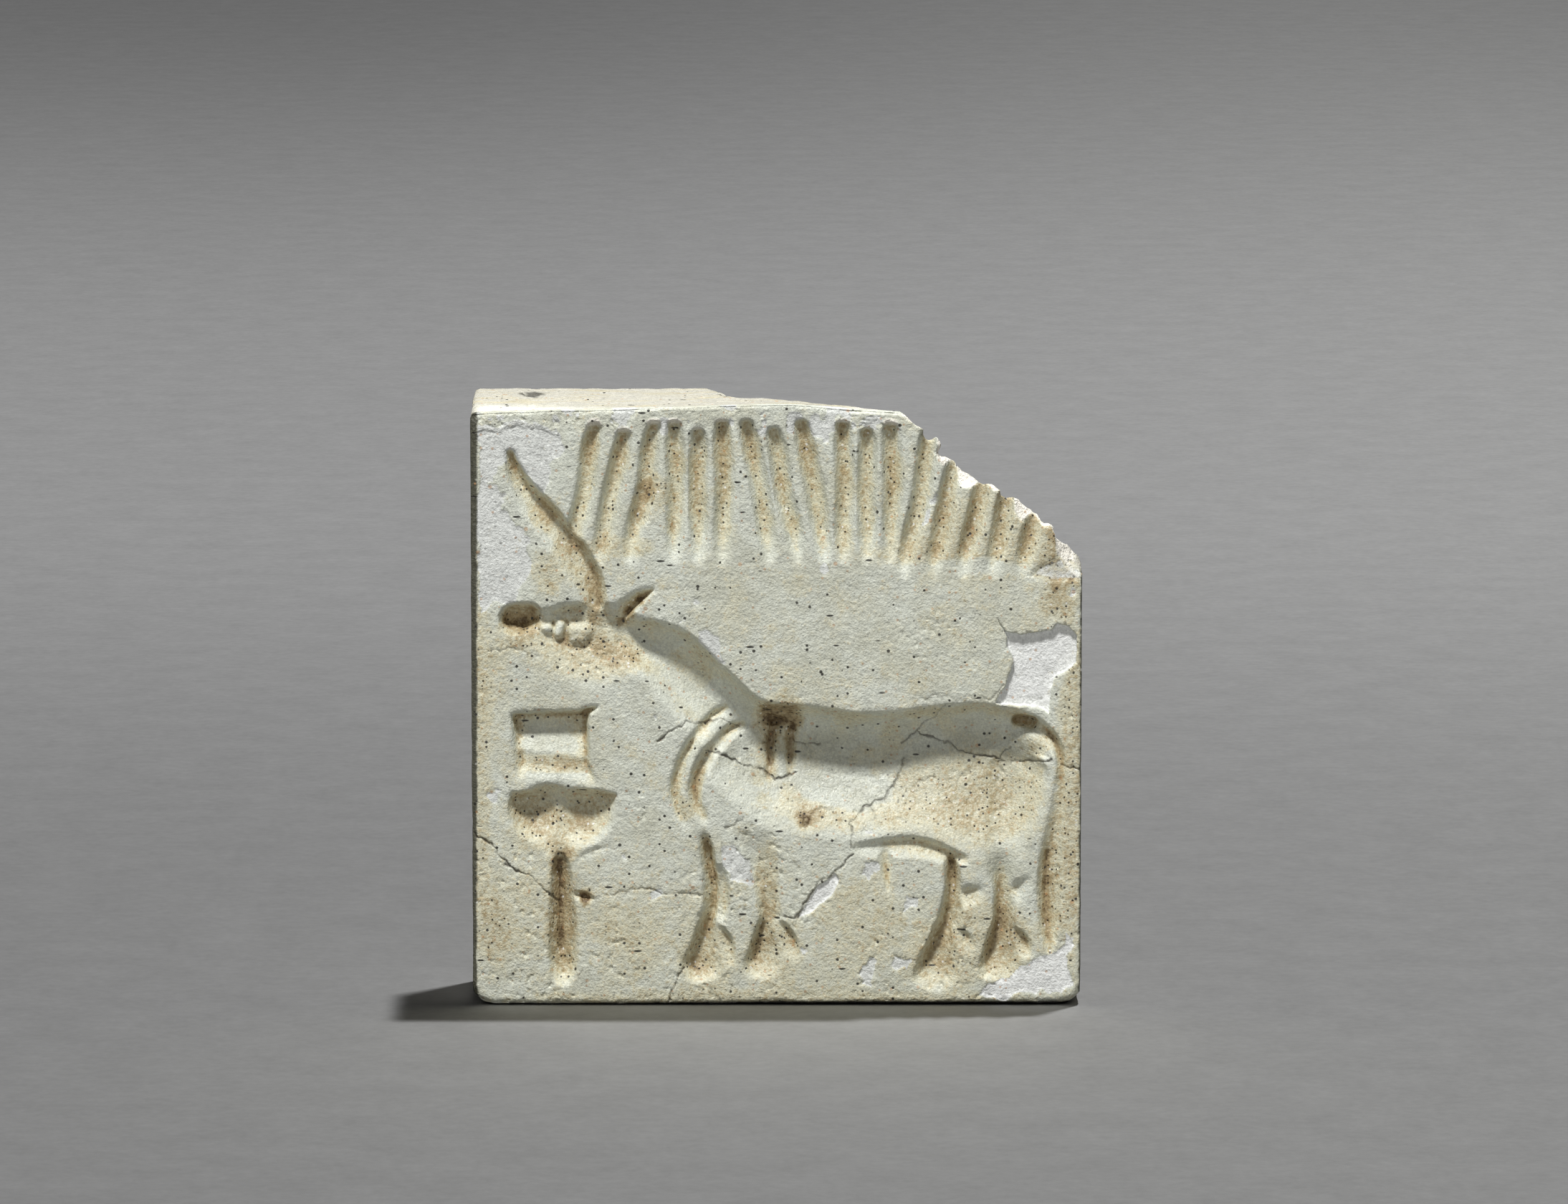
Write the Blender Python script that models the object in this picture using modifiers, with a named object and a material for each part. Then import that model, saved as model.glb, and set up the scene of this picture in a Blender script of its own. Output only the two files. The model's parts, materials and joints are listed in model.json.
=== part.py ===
"""A square stamp seal of fired soapstone, standing on its lower edge.

The sealing face looks towards -Y and +Z is up. The origin is the middle of the underside. The face is
cut in intaglio: a horned bull faces left over a stand with a bowl and a cage, under a row of plain
strokes. The top right corner is broken away. The back has a rounded, grooved boss with a cord hole.
"""

import math

import bmesh
import bpy
import numpy as np
from mathutils import Matrix, Vector, noise

MM = 0.001

# Slab
FACE_WIDTH = 36.0 * MM
FACE_HEIGHT = 35.9 * MM
SLAB_THICKNESS = 8.0 * MM
ARRIS_WEAR = 0.35 * MM
TOP_LEFT_WEAR = 0.4 * MM

# Boss on the back, its groove and its cord hole
BOSS_DIAMETER = 16.0 * MM
BOSS_HEIGHT = 6.5 * MM
BOSS_FLARE = 0.7 * MM
GROOVE_WIDTH = 1.9 * MM
GROOVE_DEPTH = 1.2 * MM
CORD_HOLE_DIAMETER = 2.8 * MM
CORD_HOLE_FLOOR = 1.0 * MM
GROOVE_END_ANGLE = math.radians(2.0)

# Depths of the carving below the sealing face
BODY_DEPTH = 2.0 * MM
HAUNCH_DEPTH = 1.1 * MM
HEAD_DEPTH = 0.9 * MM
DRILL_DEPTH = 1.4 * MM
SHOULDER_DRILL_DEPTH = 2.3 * MM
LEG_DEPTH = 0.95 * MM
LINE_DEPTH = 0.65 * MM
FOLD_DEPTH = 0.4 * MM
STAND_DEPTH = 0.9 * MM
INSCRIPTION_DEPTH = 0.55 * MM
FLAKE_DEPTH = 0.3 * MM

# The broken corner: its roughness, the size of its lumps and the way that the lost piece lies
BREAK_ROUGHNESS = 0.35 * MM
BREAK_LUMP = 2.2 * MM
BREAK_OUTWARD = Vector((0.6, 0.0, 0.8))
BREAK_OVERSHOOT = 0.06

# The drawing is laid out in units on a face of this many units, x to the right and z up
DRAWN_WIDTH = 36.0
DRAWN_HEIGHT = 35.4

# Inscription band, in drawing units
BAND_TOP = 34.1
BAND_FOOT = 26.5
STROKE_HALF_WIDTH = 0.42

# Fineness of the mesh
CARVING_CELLS = 160
CARVING_KEEP = 0.11
STEPS_PER_SPAN = 5
BOSS_SIDES = 40
BOSS_ARC_STEPS = 8
HOLE_SIDES = 20
GROOVE_SIDES = 12
BREAK_CELLS_ALONG = 52
BREAK_CELLS_ACROSS = 12
BREAK_CELLS_TO_RIDGE = 2

# Clearances that only keep a cutter's own faces off the faces it cuts
LEAD_IN = 0.12 * MM
CUTTER_MARGIN = 1.0 * MM

STONE_COLOUR = (0.60, 0.60, 0.51, 1.0)
STONE_ROUGHNESS = 0.62

FACE_Y = -SLAB_THICKNESS / 2
BACK_Y = SLAB_THICKNESS / 2
BOSS_CENTRE = Vector((0.0, BACK_Y, FACE_HEIGHT / 2))


def clear_scene():
    for obj in list(bpy.data.objects):
        bpy.data.objects.remove(obj, do_unlink=True)


def new_collection(name):
    collection = bpy.data.collections.new(name)
    bpy.context.scene.collection.children.link(collection)
    return collection


def new_object(name, bm, collection):
    """An object in the collection, made from the bmesh, which is freed."""
    mesh = bpy.data.meshes.new(name)
    bmesh.ops.recalc_face_normals(bm, faces=bm.faces)
    bm.to_mesh(mesh)
    bm.free()
    obj = bpy.data.objects.new(name, mesh)
    collection.objects.link(obj)
    return obj


def make_guide(obj):
    """Shows a cutter or a form as wires and keeps it out of renders."""
    obj.hide_render = True
    obj.display_type = "WIRE"
    return obj


def add_boolean(obj, other, operation):
    modifier = obj.modifiers.new(f"{operation.lower()} {other.name}", "BOOLEAN")
    modifier.operation = operation
    modifier.solver = "EXACT"
    modifier.object = other


def stone_material():
    material = bpy.data.materials.new("fired_soapstone")
    material.use_nodes = True
    shader = material.node_tree.nodes["Principled BSDF"]
    shader.inputs["Base Color"].default_value = STONE_COLOUR
    shader.inputs["Roughness"].default_value = STONE_ROUGHNESS
    shader.inputs["Metallic"].default_value = 0.0
    return material


def place(x, z):
    """World x and z of a point of the drawing."""
    return (x / DRAWN_WIDTH - 0.5) * FACE_WIDTH, z / DRAWN_HEIGHT * FACE_HEIGHT


def smooth_run(points, steps=STEPS_PER_SPAN):
    """Rows along a smooth curve through the points, whose further columns follow along."""
    p = np.array(points, float)
    p = np.vstack([2 * p[0] - p[1], p, 2 * p[-1] - p[-2]])
    t = (np.arange(steps) / steps)[:, None]
    rows = []
    for a, b, c, d in zip(p[:-3], p[1:-2], p[2:-1], p[3:]):
        slope = (c - a) * t
        bend = (2 * a - 5 * b + 4 * c - d) * t**2
        turn = (3 * b - 3 * c + d - a) * t**3
        rows.append(b + 0.5 * (slope + bend + turn))
    rows.append(p[-2][None])
    return np.vstack(rows)


def groove(x, z, points):
    """Share of full depth of one cut at each x and z, falling below zero outside the cut.

    Each point is x, z, the half-widths on the left and on the right of the direction of travel,
    and the share of the depth reached there.
    """
    run = smooth_run(points)
    deepest = np.full(x.shape, -9.0)
    for a, b in zip(run[:-1], run[1:]):
        step = b[:2] - a[:2]
        length = max(math.hypot(*step), 1e-6)
        ux, uz = step / length
        along = (x - a[0]) * ux + (z - a[1]) * uz
        t = np.clip(along / length, 0.0, 1.0)
        past_end = along - t * length
        across = (z - a[1]) * ux - (x - a[0]) * uz
        left, right, share = (a[k] + t * (b[k] - a[k]) for k in (2, 3, 4))
        side = np.maximum(np.where(across > 0, left, right), 0.05)
        end = np.maximum(np.minimum(left, right), 0.05)
        rim = (across / side) ** 2 + (past_end / end) ** 2
        deepest = np.maximum(deepest, share * (1 - rim))
    return deepest


def even(points, half_width, share=1.0):
    """Points x and z given one half-width on both sides and one share of the depth."""
    return [(x, z, half_width, half_width, share) for x, z in points]


def bull_cuts():
    """The bull's hollows and grooves, as pairs of depth and points."""
    trunk = [
        (15.6, 14.4, 1.7, 3.4, 0.42),
        (17.2, 15.2, 2.6, 4.8, 0.85),
        (19.5, 15.2, 2.7, 5.2, 1.0),
        (22.5, 15.0, 2.6, 5.1, 1.0),
        (25.0, 15.2, 2.6, 5.3, 0.92),
        (27.3, 15.6, 2.6, 5.8, 0.84),
        (29.5, 15.7, 2.6, 6.6, 0.88),
        (31.2, 15.5, 2.5, 6.8, 0.82),
        (32.2, 15.2, 2.4, 6.2, 0.62),
    ]
    neck = [
        (8.9, 21.9, 1.1, 1.6, 0.42),
        (10.6, 21.3, 1.6, 2.0, 0.6),
        (11.9, 20.6, 1.75, 2.3, 0.7),
        (14.4, 18.2, 1.75, 2.6, 0.77),
        (17.6, 15.6, 2.2, 3.2, 0.95),
    ]
    haunch = [
        (31.3, 14.2, 2.6, 2.4, 0.9),
        (31.5, 12.2, 2.5, 2.8, 1.0),
        (31.3, 10.2, 2.1, 2.0, 1.0),
        (31.2, 8.6, 1.2, 1.2, 0.85),
    ]
    head = [
        (2.8, 22.8, 0.8, 1.0, 0.5),
        (4.6, 22.6, 1.2, 2.6, 0.8),
        (6.2, 22.4, 1.45, 3.6, 0.95),
        (8.0, 22.1, 1.7, 3.6, 1.0),
        (9.6, 21.7, 1.2, 2.2, 0.75),
    ]
    horn = [
        (2.3, 32.2, 0.25, 0.3, 0.5),
        (2.9, 30.8, 0.35, 0.6, 0.85),
        (4.0, 29.6, 0.38, 0.85, 1.0),
        (5.5, 28.0, 0.38, 1.0, 1.0),
        (6.7, 26.3, 0.4, 1.1, 1.0),
        (7.3, 24.8, 0.4, 1.1, 0.95),
        (7.5, 23.4, 0.4, 1.0, 0.8),
    ]
    ear = [(8.4, 22.8, 0.6, 0.5, 1.0), (9.4, 23.5, 0.9, 0.35, 1.2), (10.6, 24.7, 0.2, 0.2, 0.4)]
    tail = [
        (32.4, 16.7, 0.6, 0.6, 1.6),
        (33.5, 16.4, 0.5, 0.45, 1.3),
        (34.4, 15.5, 0.45, 0.45, 1.0),
        (34.9, 13.9, 0.4, 0.45, 0.8),
        (34.8, 11.4, 0.45, 0.55, 0.8),
        (34.35, 8.6, 0.6, 0.7, 1.0),
        (34.2, 5.4, 0.65, 0.75, 1.0),
        (34.3, 2.7, 0.25, 0.3, 0.4),
    ]
    belly = [
        (22.8, 9.3, 0.35, 0.5, 0.4),
        (24.8, 9.5, 0.5, 0.8, 0.85),
        (27.3, 9.3, 0.5, 0.75, 1.0),
        (29.0, 8.6, 0.3, 0.35, 0.4),
    ]
    sheath = [(24.4, 9.0, 0.6, 0.55, 0.8), (24.6, 6.9, 0.2, 0.2, 0.3)]
    drilled = [(SHOULDER_DRILL_DEPTH, even([(17.9, 16.8), (18.5, 16.7)], 0.95))]
    drilled += [(SHOULDER_DRILL_DEPTH, even([(17.8, 16.2), (17.6, 13.6)], 0.4))]
    drilled += [(SHOULDER_DRILL_DEPTH, even([(18.8, 16.0), (18.7, 13.9)], 0.4))]
    drilled += [(DRILL_DEPTH, even([(2.5, 22.95), (3.2, 22.95)], 1.0))]
    masses = [(BODY_DEPTH, trunk), (BODY_DEPTH, neck), (HAUNCH_DEPTH, haunch), (HEAD_DEPTH, head)]
    return masses + drilled + [(LINE_DEPTH, line) for line in (horn, ear, tail, belly, sheath)]


def fold_cuts():
    """The two folds of skin at the chest, engraved into the hollow of the neck as well as beside it."""
    outer_fold = [
        (15.0, 17.1, 0.3, 0.3, 0.4),
        (13.7, 16.3, 0.4, 0.45, 1.0),
        (12.7, 14.9, 0.4, 0.45, 1.0),
        (12.1, 13.2, 0.4, 0.45, 1.0),
        (12.2, 11.4, 0.35, 0.4, 0.6),
        (12.9, 10.4, 0.2, 0.2, 0.2),
    ]
    inner_fold = [
        (15.9, 16.4, 0.35, 0.5, 0.9),
        (14.5, 15.3, 0.4, 0.6, 1.0),
        (13.6, 13.9, 0.4, 0.6, 1.0),
        (13.3, 12.3, 0.4, 0.5, 0.8),
        (14.0, 11.0, 0.25, 0.3, 0.3),
    ]
    return [(FOLD_DEPTH, outer_fold), (FOLD_DEPTH, inner_fold)]


def leg_cuts():
    """The four legs: each is a shank with a foot, and a dew claw behind it."""
    front_leg = [
        (13.85, 9.8, 0.5, 0.4, 0.4),
        (14.1, 8.4, 0.8, 0.7, 0.9),
        (14.3, 6.6, 0.8, 0.8, 1.0),
        (14.1, 5.0, 0.7, 0.8, 1.0),
        (13.5, 3.5, 0.6, 0.9, 0.95),
        (13.1, 2.3, 0.9, 1.0, 0.7),
    ]
    second_front_leg = [
        (16.9, 9.9, 1.4, 1.0, 0.35),
        (17.1, 8.6, 1.4, 0.8, 0.8),
        (17.3, 6.8, 1.2, 0.6, 1.0),
        (17.3, 5.2, 1.0, 0.5, 1.0),
        (17.0, 3.5, 0.6, 0.6, 0.95),
        (16.7, 2.3, 0.8, 0.7, 0.75),
    ]
    hind_leg = [
        (28.1, 8.8, 0.5, 0.5, 0.6),
        (28.4, 7.2, 0.7, 0.55, 1.0),
        (28.3, 5.6, 0.9, 0.65, 1.0),
        (27.8, 4.0, 0.8, 0.75, 0.95),
        (26.9, 2.5, 0.9, 0.7, 0.75),
        (26.1, 1.5, 0.4, 0.3, 0.3),
    ]
    second_hind_leg = [
        (31.2, 9.8, 1.6, 1.5, 1.0),
        (31.2, 8.2, 1.0, 1.0, 1.1),
        (31.25, 6.4, 0.85, 0.6, 1.05),
        (31.15, 4.6, 0.8, 0.65, 1.0),
        (30.8, 3.1, 0.7, 0.7, 0.9),
        (30.5, 2.2, 0.9, 0.7, 0.7),
    ]
    feet = [
        [(12.8, 2.2, 0.5, 1.0, 0.65), (14.1, 2.15, 0.45, 0.9, 0.6)],
        [(16.7, 2.2, 0.4, 1.0, 0.7), (18.2, 2.15, 0.4, 0.9, 0.6)],
        [(27.4, 2.5, 0.6, 1.2, 0.6), (29.4, 2.3, 0.7, 1.0, 0.45)],
        [(30.5, 2.2, 0.4, 0.9, 0.7), (31.8, 2.35, 0.4, 0.8, 0.5)],
    ]
    dew_claws = [
        [(14.6, 4.6, 0.4, 0.9, 0.45), (15.2, 3.4, 0.4, 1.0, 0.6)],
        [(18.3, 4.6, 0.4, 0.8, 0.45), (19.0, 3.3, 0.4, 1.0, 0.6)],
        [(28.5, 4.3, 0.35, 0.6, 0.45), (29.3, 3.7, 0.35, 0.8, 0.4)],
        [(32.0, 4.4, 0.35, 0.7, 0.5), (32.7, 3.5, 0.35, 0.9, 0.5)],
    ]
    hocks = [even([(28.6, 6.6), (30.0, 7.0)], 0.4, 0.55), even([(31.6, 6.7), (32.7, 7.6)], 0.35, 0.55)]
    legs = [front_leg, second_front_leg, hind_leg, second_hind_leg]
    return [(LEG_DEPTH, points) for points in legs + feet + dew_claws + hocks]


def stand_cuts():
    """The stand in front of the bull: a cage over a bowl on a post."""
    cage_top = [(2.9, 16.6, 0.8, 1.3, 0.9), (6.5, 16.65, 0.8, 1.3, 0.9)]
    cage_shelf = even([(3.5, 15.4), (6.2, 15.4)], 0.9, 0.5)
    cage_foot = [(2.9, 14.1, 0.4, 0.9, 0.45), (6.8, 14.1, 0.4, 0.9, 0.45)]
    cage_sides = [even([(x, 17.0), (x, 14.0)], 0.35, 0.55) for x in (2.7, 6.8)]
    cage_corner = [(6.6, 17.0, 0.3, 0.3, 0.6), (7.6, 17.7, 0.15, 0.15, 0.3)]
    bowl = [
        (2.1, 12.5, 0.3, 0.4, 0.35),
        (2.9, 12.1, 0.75, 1.4, 0.85),
        (3.9, 11.8, 1.1, 2.0, 1.1),
        (5.15, 12.0, 0.95, 1.8, 0.85),
        (6.4, 11.7, 1.15, 2.1, 1.1),
        (7.6, 12.1, 0.75, 1.4, 0.85),
        (8.6, 12.5, 0.25, 0.3, 0.35),
    ]
    bowl_foot = [(5.2, 11.2, 2.0, 2.0, 0.55), (5.2, 9.9, 1.1, 1.1, 0.3)]
    post = [
        (5.15, 9.2, 0.4, 0.4, 0.45),
        (5.15, 8.0, 0.5, 0.5, 0.85),
        (5.2, 6.0, 0.65, 0.65, 0.95),
        (5.3, 2.1, 0.75, 0.75, 0.9),
    ]
    parts = [cage_top, cage_shelf, cage_foot, cage_corner, bowl, bowl_foot, post] + cage_sides
    return [(STAND_DEPTH, part) for part in parts]


def inscription_cuts():
    """A row of plain tally strokes that aren't letters, in groups that lean in turn."""
    groups = [(6.6, 3, 1.75, 1.4), (12.0, 3, 1.4, 0.0), (16.9, 3, 1.6, -1.3), (21.9, 3, 1.4, 0.0)]
    groups += [(26.3, 5, 1.75, 1.6)]
    cuts = []
    for first, count, spacing, lean in groups:
        for k in range(count):
            x = first + k * spacing
            top = BAND_TOP - 0.5 * (k % 2)
            points = [(x + lean / 2, top), (x, (top + BAND_FOOT) / 2), (x - lean / 2, BAND_FOOT)]
            cuts.append((INSCRIPTION_DEPTH, even(points, STROKE_HALF_WIDTH)))
    return cuts


def flake_cuts():
    """The shallow patch above the rump where the glazed skin has flaked off."""
    patch = [(31.9, 22.0, 0.5, 0.5, 0.8), (34.0, 20.6, 1.6, 1.4, 1.0), (32.6, 18.4, 1.0, 1.6, 1.0)]
    return [(FLAKE_DEPTH, patch)]


def carved_depth(x, z):
    """Depth of the carving below the face at each point of the drawing, and below zero outside it."""
    depth = np.full(x.shape, -LEAD_IN)
    for full, points in bull_cuts() + leg_cuts() + stand_cuts() + inscription_cuts() + flake_cuts():
        depth = np.maximum(depth, full * groove(x, z, points))
    for full, points in fold_cuts():
        depth += full * np.maximum(groove(x, z, points), 0.0)
    return depth


def carving_cutter(collection):
    """A block whose rear face is the raised impression of the carving."""
    bm = bmesh.new()
    bmesh.ops.create_grid(bm, x_segments=CARVING_CELLS, y_segments=CARVING_CELLS, size=0.5)
    shares = np.array([vert.co[:2] for vert in bm.verts]) + 0.5
    drawn_x = shares[:, 0] * DRAWN_WIDTH
    drawn_z = shares[:, 1] * DRAWN_HEIGHT
    depths = carved_depth(drawn_x, drawn_z)
    for vert, px, pz, depth in zip(bm.verts, drawn_x, drawn_z, depths):
        x, z = place(px, pz)
        vert.co = (x, FACE_Y + depth, z)
    rim = [edge for edge in bm.edges if edge.is_boundary]
    walls = bmesh.ops.extrude_edge_only(bm, edges=rim)["geom"]
    for vert in walls:
        if isinstance(vert, bmesh.types.BMVert):
            vert.co.y = FACE_Y - CUTTER_MARGIN
    bmesh.ops.holes_fill(bm, edges=[edge for edge in bm.edges if edge.is_boundary])
    cutter = make_guide(new_object("carving_cutter", bm, collection))
    thin = cutter.modifiers.new("fewer faces", "DECIMATE")
    thin.ratio = CARVING_KEEP
    return cutter


def break_lines():
    """The broken corner's line on the face, its ridge just behind the face and its line on the back.

    Each point is x and z in drawing units and a share of the slab's thickness, from the face.
    """
    # Rows of face x, face z, ridge x, ridge z and the ridge's share of the thickness
    face_and_ridge = [
        (17.3, 36.2, 17.3, 35.9, 0.12),
        (21.0, 36.0, 21.0, 35.7, 0.09),
        (23.8, 35.8, 23.9, 35.5, 0.05),
        (25.4, 34.8, 25.5, 34.9, 0.04),
        (27.0, 33.5, 27.5, 33.3, 0.05),
        (27.2, 32.5, 27.6, 32.4, 0.06),
        (28.3, 30.7, 29.1, 31.3, 0.11),
        (30.3, 30.4, 30.9, 30.45, 0.05),
        (31.5, 29.6, 31.6, 30.0, 0.05),
        (32.4, 28.4, 33.1, 29.0, 0.11),
        (34.0, 28.1, 34.2, 28.3, 0.05),
        (34.4, 26.6, 35.2, 27.0, 0.12),
        (35.6, 25.3, 36.2, 25.7, 0.15),
        (37.6, 24.6, 37.9, 24.0, 0.15),
    ]
    face = [(x, z, -BREAK_OVERSHOOT) for x, z, _, _, _ in face_and_ridge]
    ridge = [(x, z, share) for _, _, x, z, share in face_and_ridge]
    back = [(12.8, 35.9), (17.0, 31.8), (21.4, 28.8), (27.0, 24.8), (32.4, 21.2), (38.4, 17.6)]
    return face, ridge, [(x, z, 1.0 + BREAK_OVERSHOOT) for x, z in back]


def evenly_along(points, count):
    """As many points, evenly spread over the list's own run, on a smooth curve through them."""
    run = smooth_run(points)
    shares = np.linspace(0.0, 1.0, count)
    return np.stack([np.interp(shares, np.linspace(0.0, 1.0, len(run)), column) for column in run.T], -1)


def break_cutter(collection):
    """The lost corner: a rough sheet lofted through the break's three lines, made solid."""
    face, ridge, back = (evenly_along(line, BREAK_CELLS_ALONG + 1) for line in break_lines())
    bm = bmesh.new()
    bmesh.ops.create_grid(bm, x_segments=BREAK_CELLS_ALONG, y_segments=BREAK_CELLS_ACROSS, size=0.5)
    for vert in bm.verts:
        row = round((vert.co.x + 0.5) * BREAK_CELLS_ALONG)
        step = round((vert.co.y + 0.5) * BREAK_CELLS_ACROSS)
        if step <= BREAK_CELLS_TO_RIDGE:
            drawn = face[row] + step / BREAK_CELLS_TO_RIDGE * (ridge[row] - face[row])
        else:
            share = (step - BREAK_CELLS_TO_RIDGE) / (BREAK_CELLS_ACROSS - BREAK_CELLS_TO_RIDGE)
            drawn = ridge[row] + share * (back[row] - ridge[row])
        x, z = place(drawn[0], drawn[1])
        y = FACE_Y + drawn[2] * SLAB_THICKNESS
        rough = BREAK_ROUGHNESS * min(1.0, 2.0 * step / BREAK_CELLS_ACROSS)
        bulge = noise.fractal(Vector((x, y, z)) / BREAK_LUMP, 1.0, 2.0, 3) * rough
        vert.co = Vector((x, y, z)) + bulge * BREAK_OUTWARD
    grown = bmesh.ops.extrude_face_region(bm, geom=list(bm.faces))["geom"]
    grown_verts = [item for item in grown if isinstance(item, bmesh.types.BMVert)]
    bmesh.ops.translate(bm, vec=BREAK_OUTWARD * FACE_HEIGHT, verts=grown_verts)
    return make_guide(new_object("break_cutter", bm, collection))


def boss_form(collection):
    """The boss: a turned dome with a small flare at its foot."""
    radius = BOSS_DIAMETER / 2
    angles = [math.pi / 2 * k / BOSS_ARC_STEPS for k in range(BOSS_ARC_STEPS)]
    dome = [(radius * math.sin(angle), BOSS_HEIGHT * math.cos(angle)) for angle in angles]
    foot = [(radius + BOSS_FLARE * 0.2, BOSS_FLARE), (radius + BOSS_FLARE, 0.0)]
    sunk = [(radius + BOSS_FLARE, -CUTTER_MARGIN), (0.0, -CUTTER_MARGIN)]
    bm = bmesh.new()
    verts = [bm.verts.new((x, 0.0, z)) for x, z in dome + foot + sunk]
    for upper, lower in zip(verts[:-1], verts[1:]):
        bm.edges.new((upper, lower))
    boss = make_guide(new_object("boss_form", bm, collection))
    turn = boss.modifiers.new("turned", "SCREW")
    turn.steps = turn.render_steps = BOSS_SIDES
    turn.use_merge_vertices = True
    turn.merge_threshold = 0.00001
    boss.rotation_euler = (-math.pi / 2, 0.0, 0.0)
    boss.location = BOSS_CENTRE
    return boss


def groove_cutter(collection):
    """Part of a ring that follows the dome's curve up the back, as deep as the groove."""
    tube = GROOVE_WIDTH / 2
    sink = GROOVE_DEPTH - tube
    ring = BOSS_DIAMETER / 2 - sink
    rise = BOSS_HEIGHT - sink
    bm = bmesh.new()
    bmesh.ops.create_circle(bm, segments=GROOVE_SIDES, radius=tube)
    to_foot = Matrix.Translation((0.0, 0.0, -ring)) @ Matrix.Rotation(math.pi / 2, 4, "X")
    bmesh.ops.transform(bm, matrix=to_foot, verts=bm.verts)
    bmesh.ops.rotate(bm, matrix=Matrix.Rotation(GROOVE_END_ANGLE, 3, "X"), verts=bm.verts)
    bmesh.ops.spin(
        bm,
        geom=list(bm.edges),
        axis=(1.0, 0.0, 0.0),
        cent=(0.0, 0.0, 0.0),
        angle=math.pi - 2 * GROOVE_END_ANGLE,
        steps=BOSS_SIDES // 2,
    )
    bmesh.ops.holes_fill(bm, edges=[edge for edge in bm.edges if edge.is_boundary])
    bmesh.ops.transform(bm, matrix=Matrix.Scale(rise / ring, 4, (0.0, 1.0, 0.0)), verts=bm.verts)
    cutter = make_guide(new_object("groove_cutter", bm, collection))
    cutter.location = BOSS_CENTRE
    return cutter


def cord_hole_cutter(collection):
    """A round bar through the boss from side to side, just above the slab's back."""
    bm = bmesh.new()
    bmesh.ops.create_cone(
        bm,
        cap_ends=True,
        segments=HOLE_SIDES,
        radius1=CORD_HOLE_DIAMETER / 2,
        radius2=CORD_HOLE_DIAMETER / 2,
        depth=BOSS_DIAMETER + 2 * (BOSS_FLARE + CUTTER_MARGIN),
    )
    cutter = make_guide(new_object("cord_hole_cutter", bm, collection))
    cutter.rotation_euler = (0.0, math.pi / 2, 0.0)
    cutter.location = BOSS_CENTRE + Vector((0.0, CORD_HOLE_FLOOR + CORD_HOLE_DIAMETER / 2, 0.0))
    return cutter


def slab(collection):
    """The slab with worn arrises, its front top edge worn lower towards the left."""
    bm = bmesh.new()
    bmesh.ops.create_cube(bm, size=1.0)
    size = Matrix.Diagonal((FACE_WIDTH, SLAB_THICKNESS, FACE_HEIGHT, 1.0))
    bmesh.ops.transform(bm, matrix=Matrix.Translation((0.0, 0.0, FACE_HEIGHT / 2)) @ size, verts=bm.verts)
    for vert in bm.verts:
        if vert.co.x < 0 and vert.co.y < 0 and vert.co.z > FACE_HEIGHT / 2:
            vert.co.z -= TOP_LEFT_WEAR
    seal = new_object("stamp_seal", bm, collection)
    wear = seal.modifiers.new("worn arrises", "BEVEL")
    wear.width = ARRIS_WEAR
    wear.segments = 2
    return seal


def main():
    clear_scene()
    parts = new_collection("stamp_seal")
    cutters = new_collection("cutters")
    seal = slab(parts)
    add_boolean(seal, break_cutter(cutters), "DIFFERENCE")
    add_boolean(seal, boss_form(cutters), "UNION")
    add_boolean(seal, groove_cutter(cutters), "DIFFERENCE")
    add_boolean(seal, cord_hole_cutter(cutters), "DIFFERENCE")
    add_boolean(seal, carving_cutter(cutters), "DIFFERENCE")
    seal.data.materials.append(stone_material())


main()
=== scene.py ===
"""The looks of the stamp seal: one carved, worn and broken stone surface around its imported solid.

A plain floor, soft light and a camera go with it.
"""

import itertools
import json
import math

import bmesh
import bpy
import numpy as np
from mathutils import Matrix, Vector
from mathutils.geometry import delaunay_2d_cdt


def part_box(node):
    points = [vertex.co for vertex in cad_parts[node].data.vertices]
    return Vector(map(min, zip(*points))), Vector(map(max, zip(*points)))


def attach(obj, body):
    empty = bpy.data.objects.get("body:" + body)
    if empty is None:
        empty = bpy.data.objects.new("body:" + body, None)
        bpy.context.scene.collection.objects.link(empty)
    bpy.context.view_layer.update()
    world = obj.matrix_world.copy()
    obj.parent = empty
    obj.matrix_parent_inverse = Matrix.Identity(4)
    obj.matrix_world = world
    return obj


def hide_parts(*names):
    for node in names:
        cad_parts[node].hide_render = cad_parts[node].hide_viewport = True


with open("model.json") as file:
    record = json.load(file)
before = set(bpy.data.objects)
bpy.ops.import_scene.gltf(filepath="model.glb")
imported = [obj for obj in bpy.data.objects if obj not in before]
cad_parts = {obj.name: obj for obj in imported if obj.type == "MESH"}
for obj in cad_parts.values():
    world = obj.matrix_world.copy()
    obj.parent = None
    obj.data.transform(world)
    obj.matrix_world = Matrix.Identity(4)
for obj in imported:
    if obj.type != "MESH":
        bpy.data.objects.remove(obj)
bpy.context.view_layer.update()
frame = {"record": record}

MM = 0.001

# Sizes read from the frame, in millimetres
NODE = "stamp_seal"
box_low, box_high = (np.array(corner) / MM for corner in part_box(NODE))
mounts = {mount["name"]: mount for mount in frame["record"]["mounts"]}
FACE_Y = mounts["sealing_face"]["pos_m"][1] / MM
BACK_Y = -FACE_Y
THICKNESS = BACK_Y - FACE_Y
LEFT = box_low[0]
WIDTH = box_high[0] - box_low[0]
HEIGHT = box_high[2] - box_low[2]

# The drawing's own size: its points are millimetres from the face's lower left corner
DRAWN = np.array((36.0, 35.4))

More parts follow.
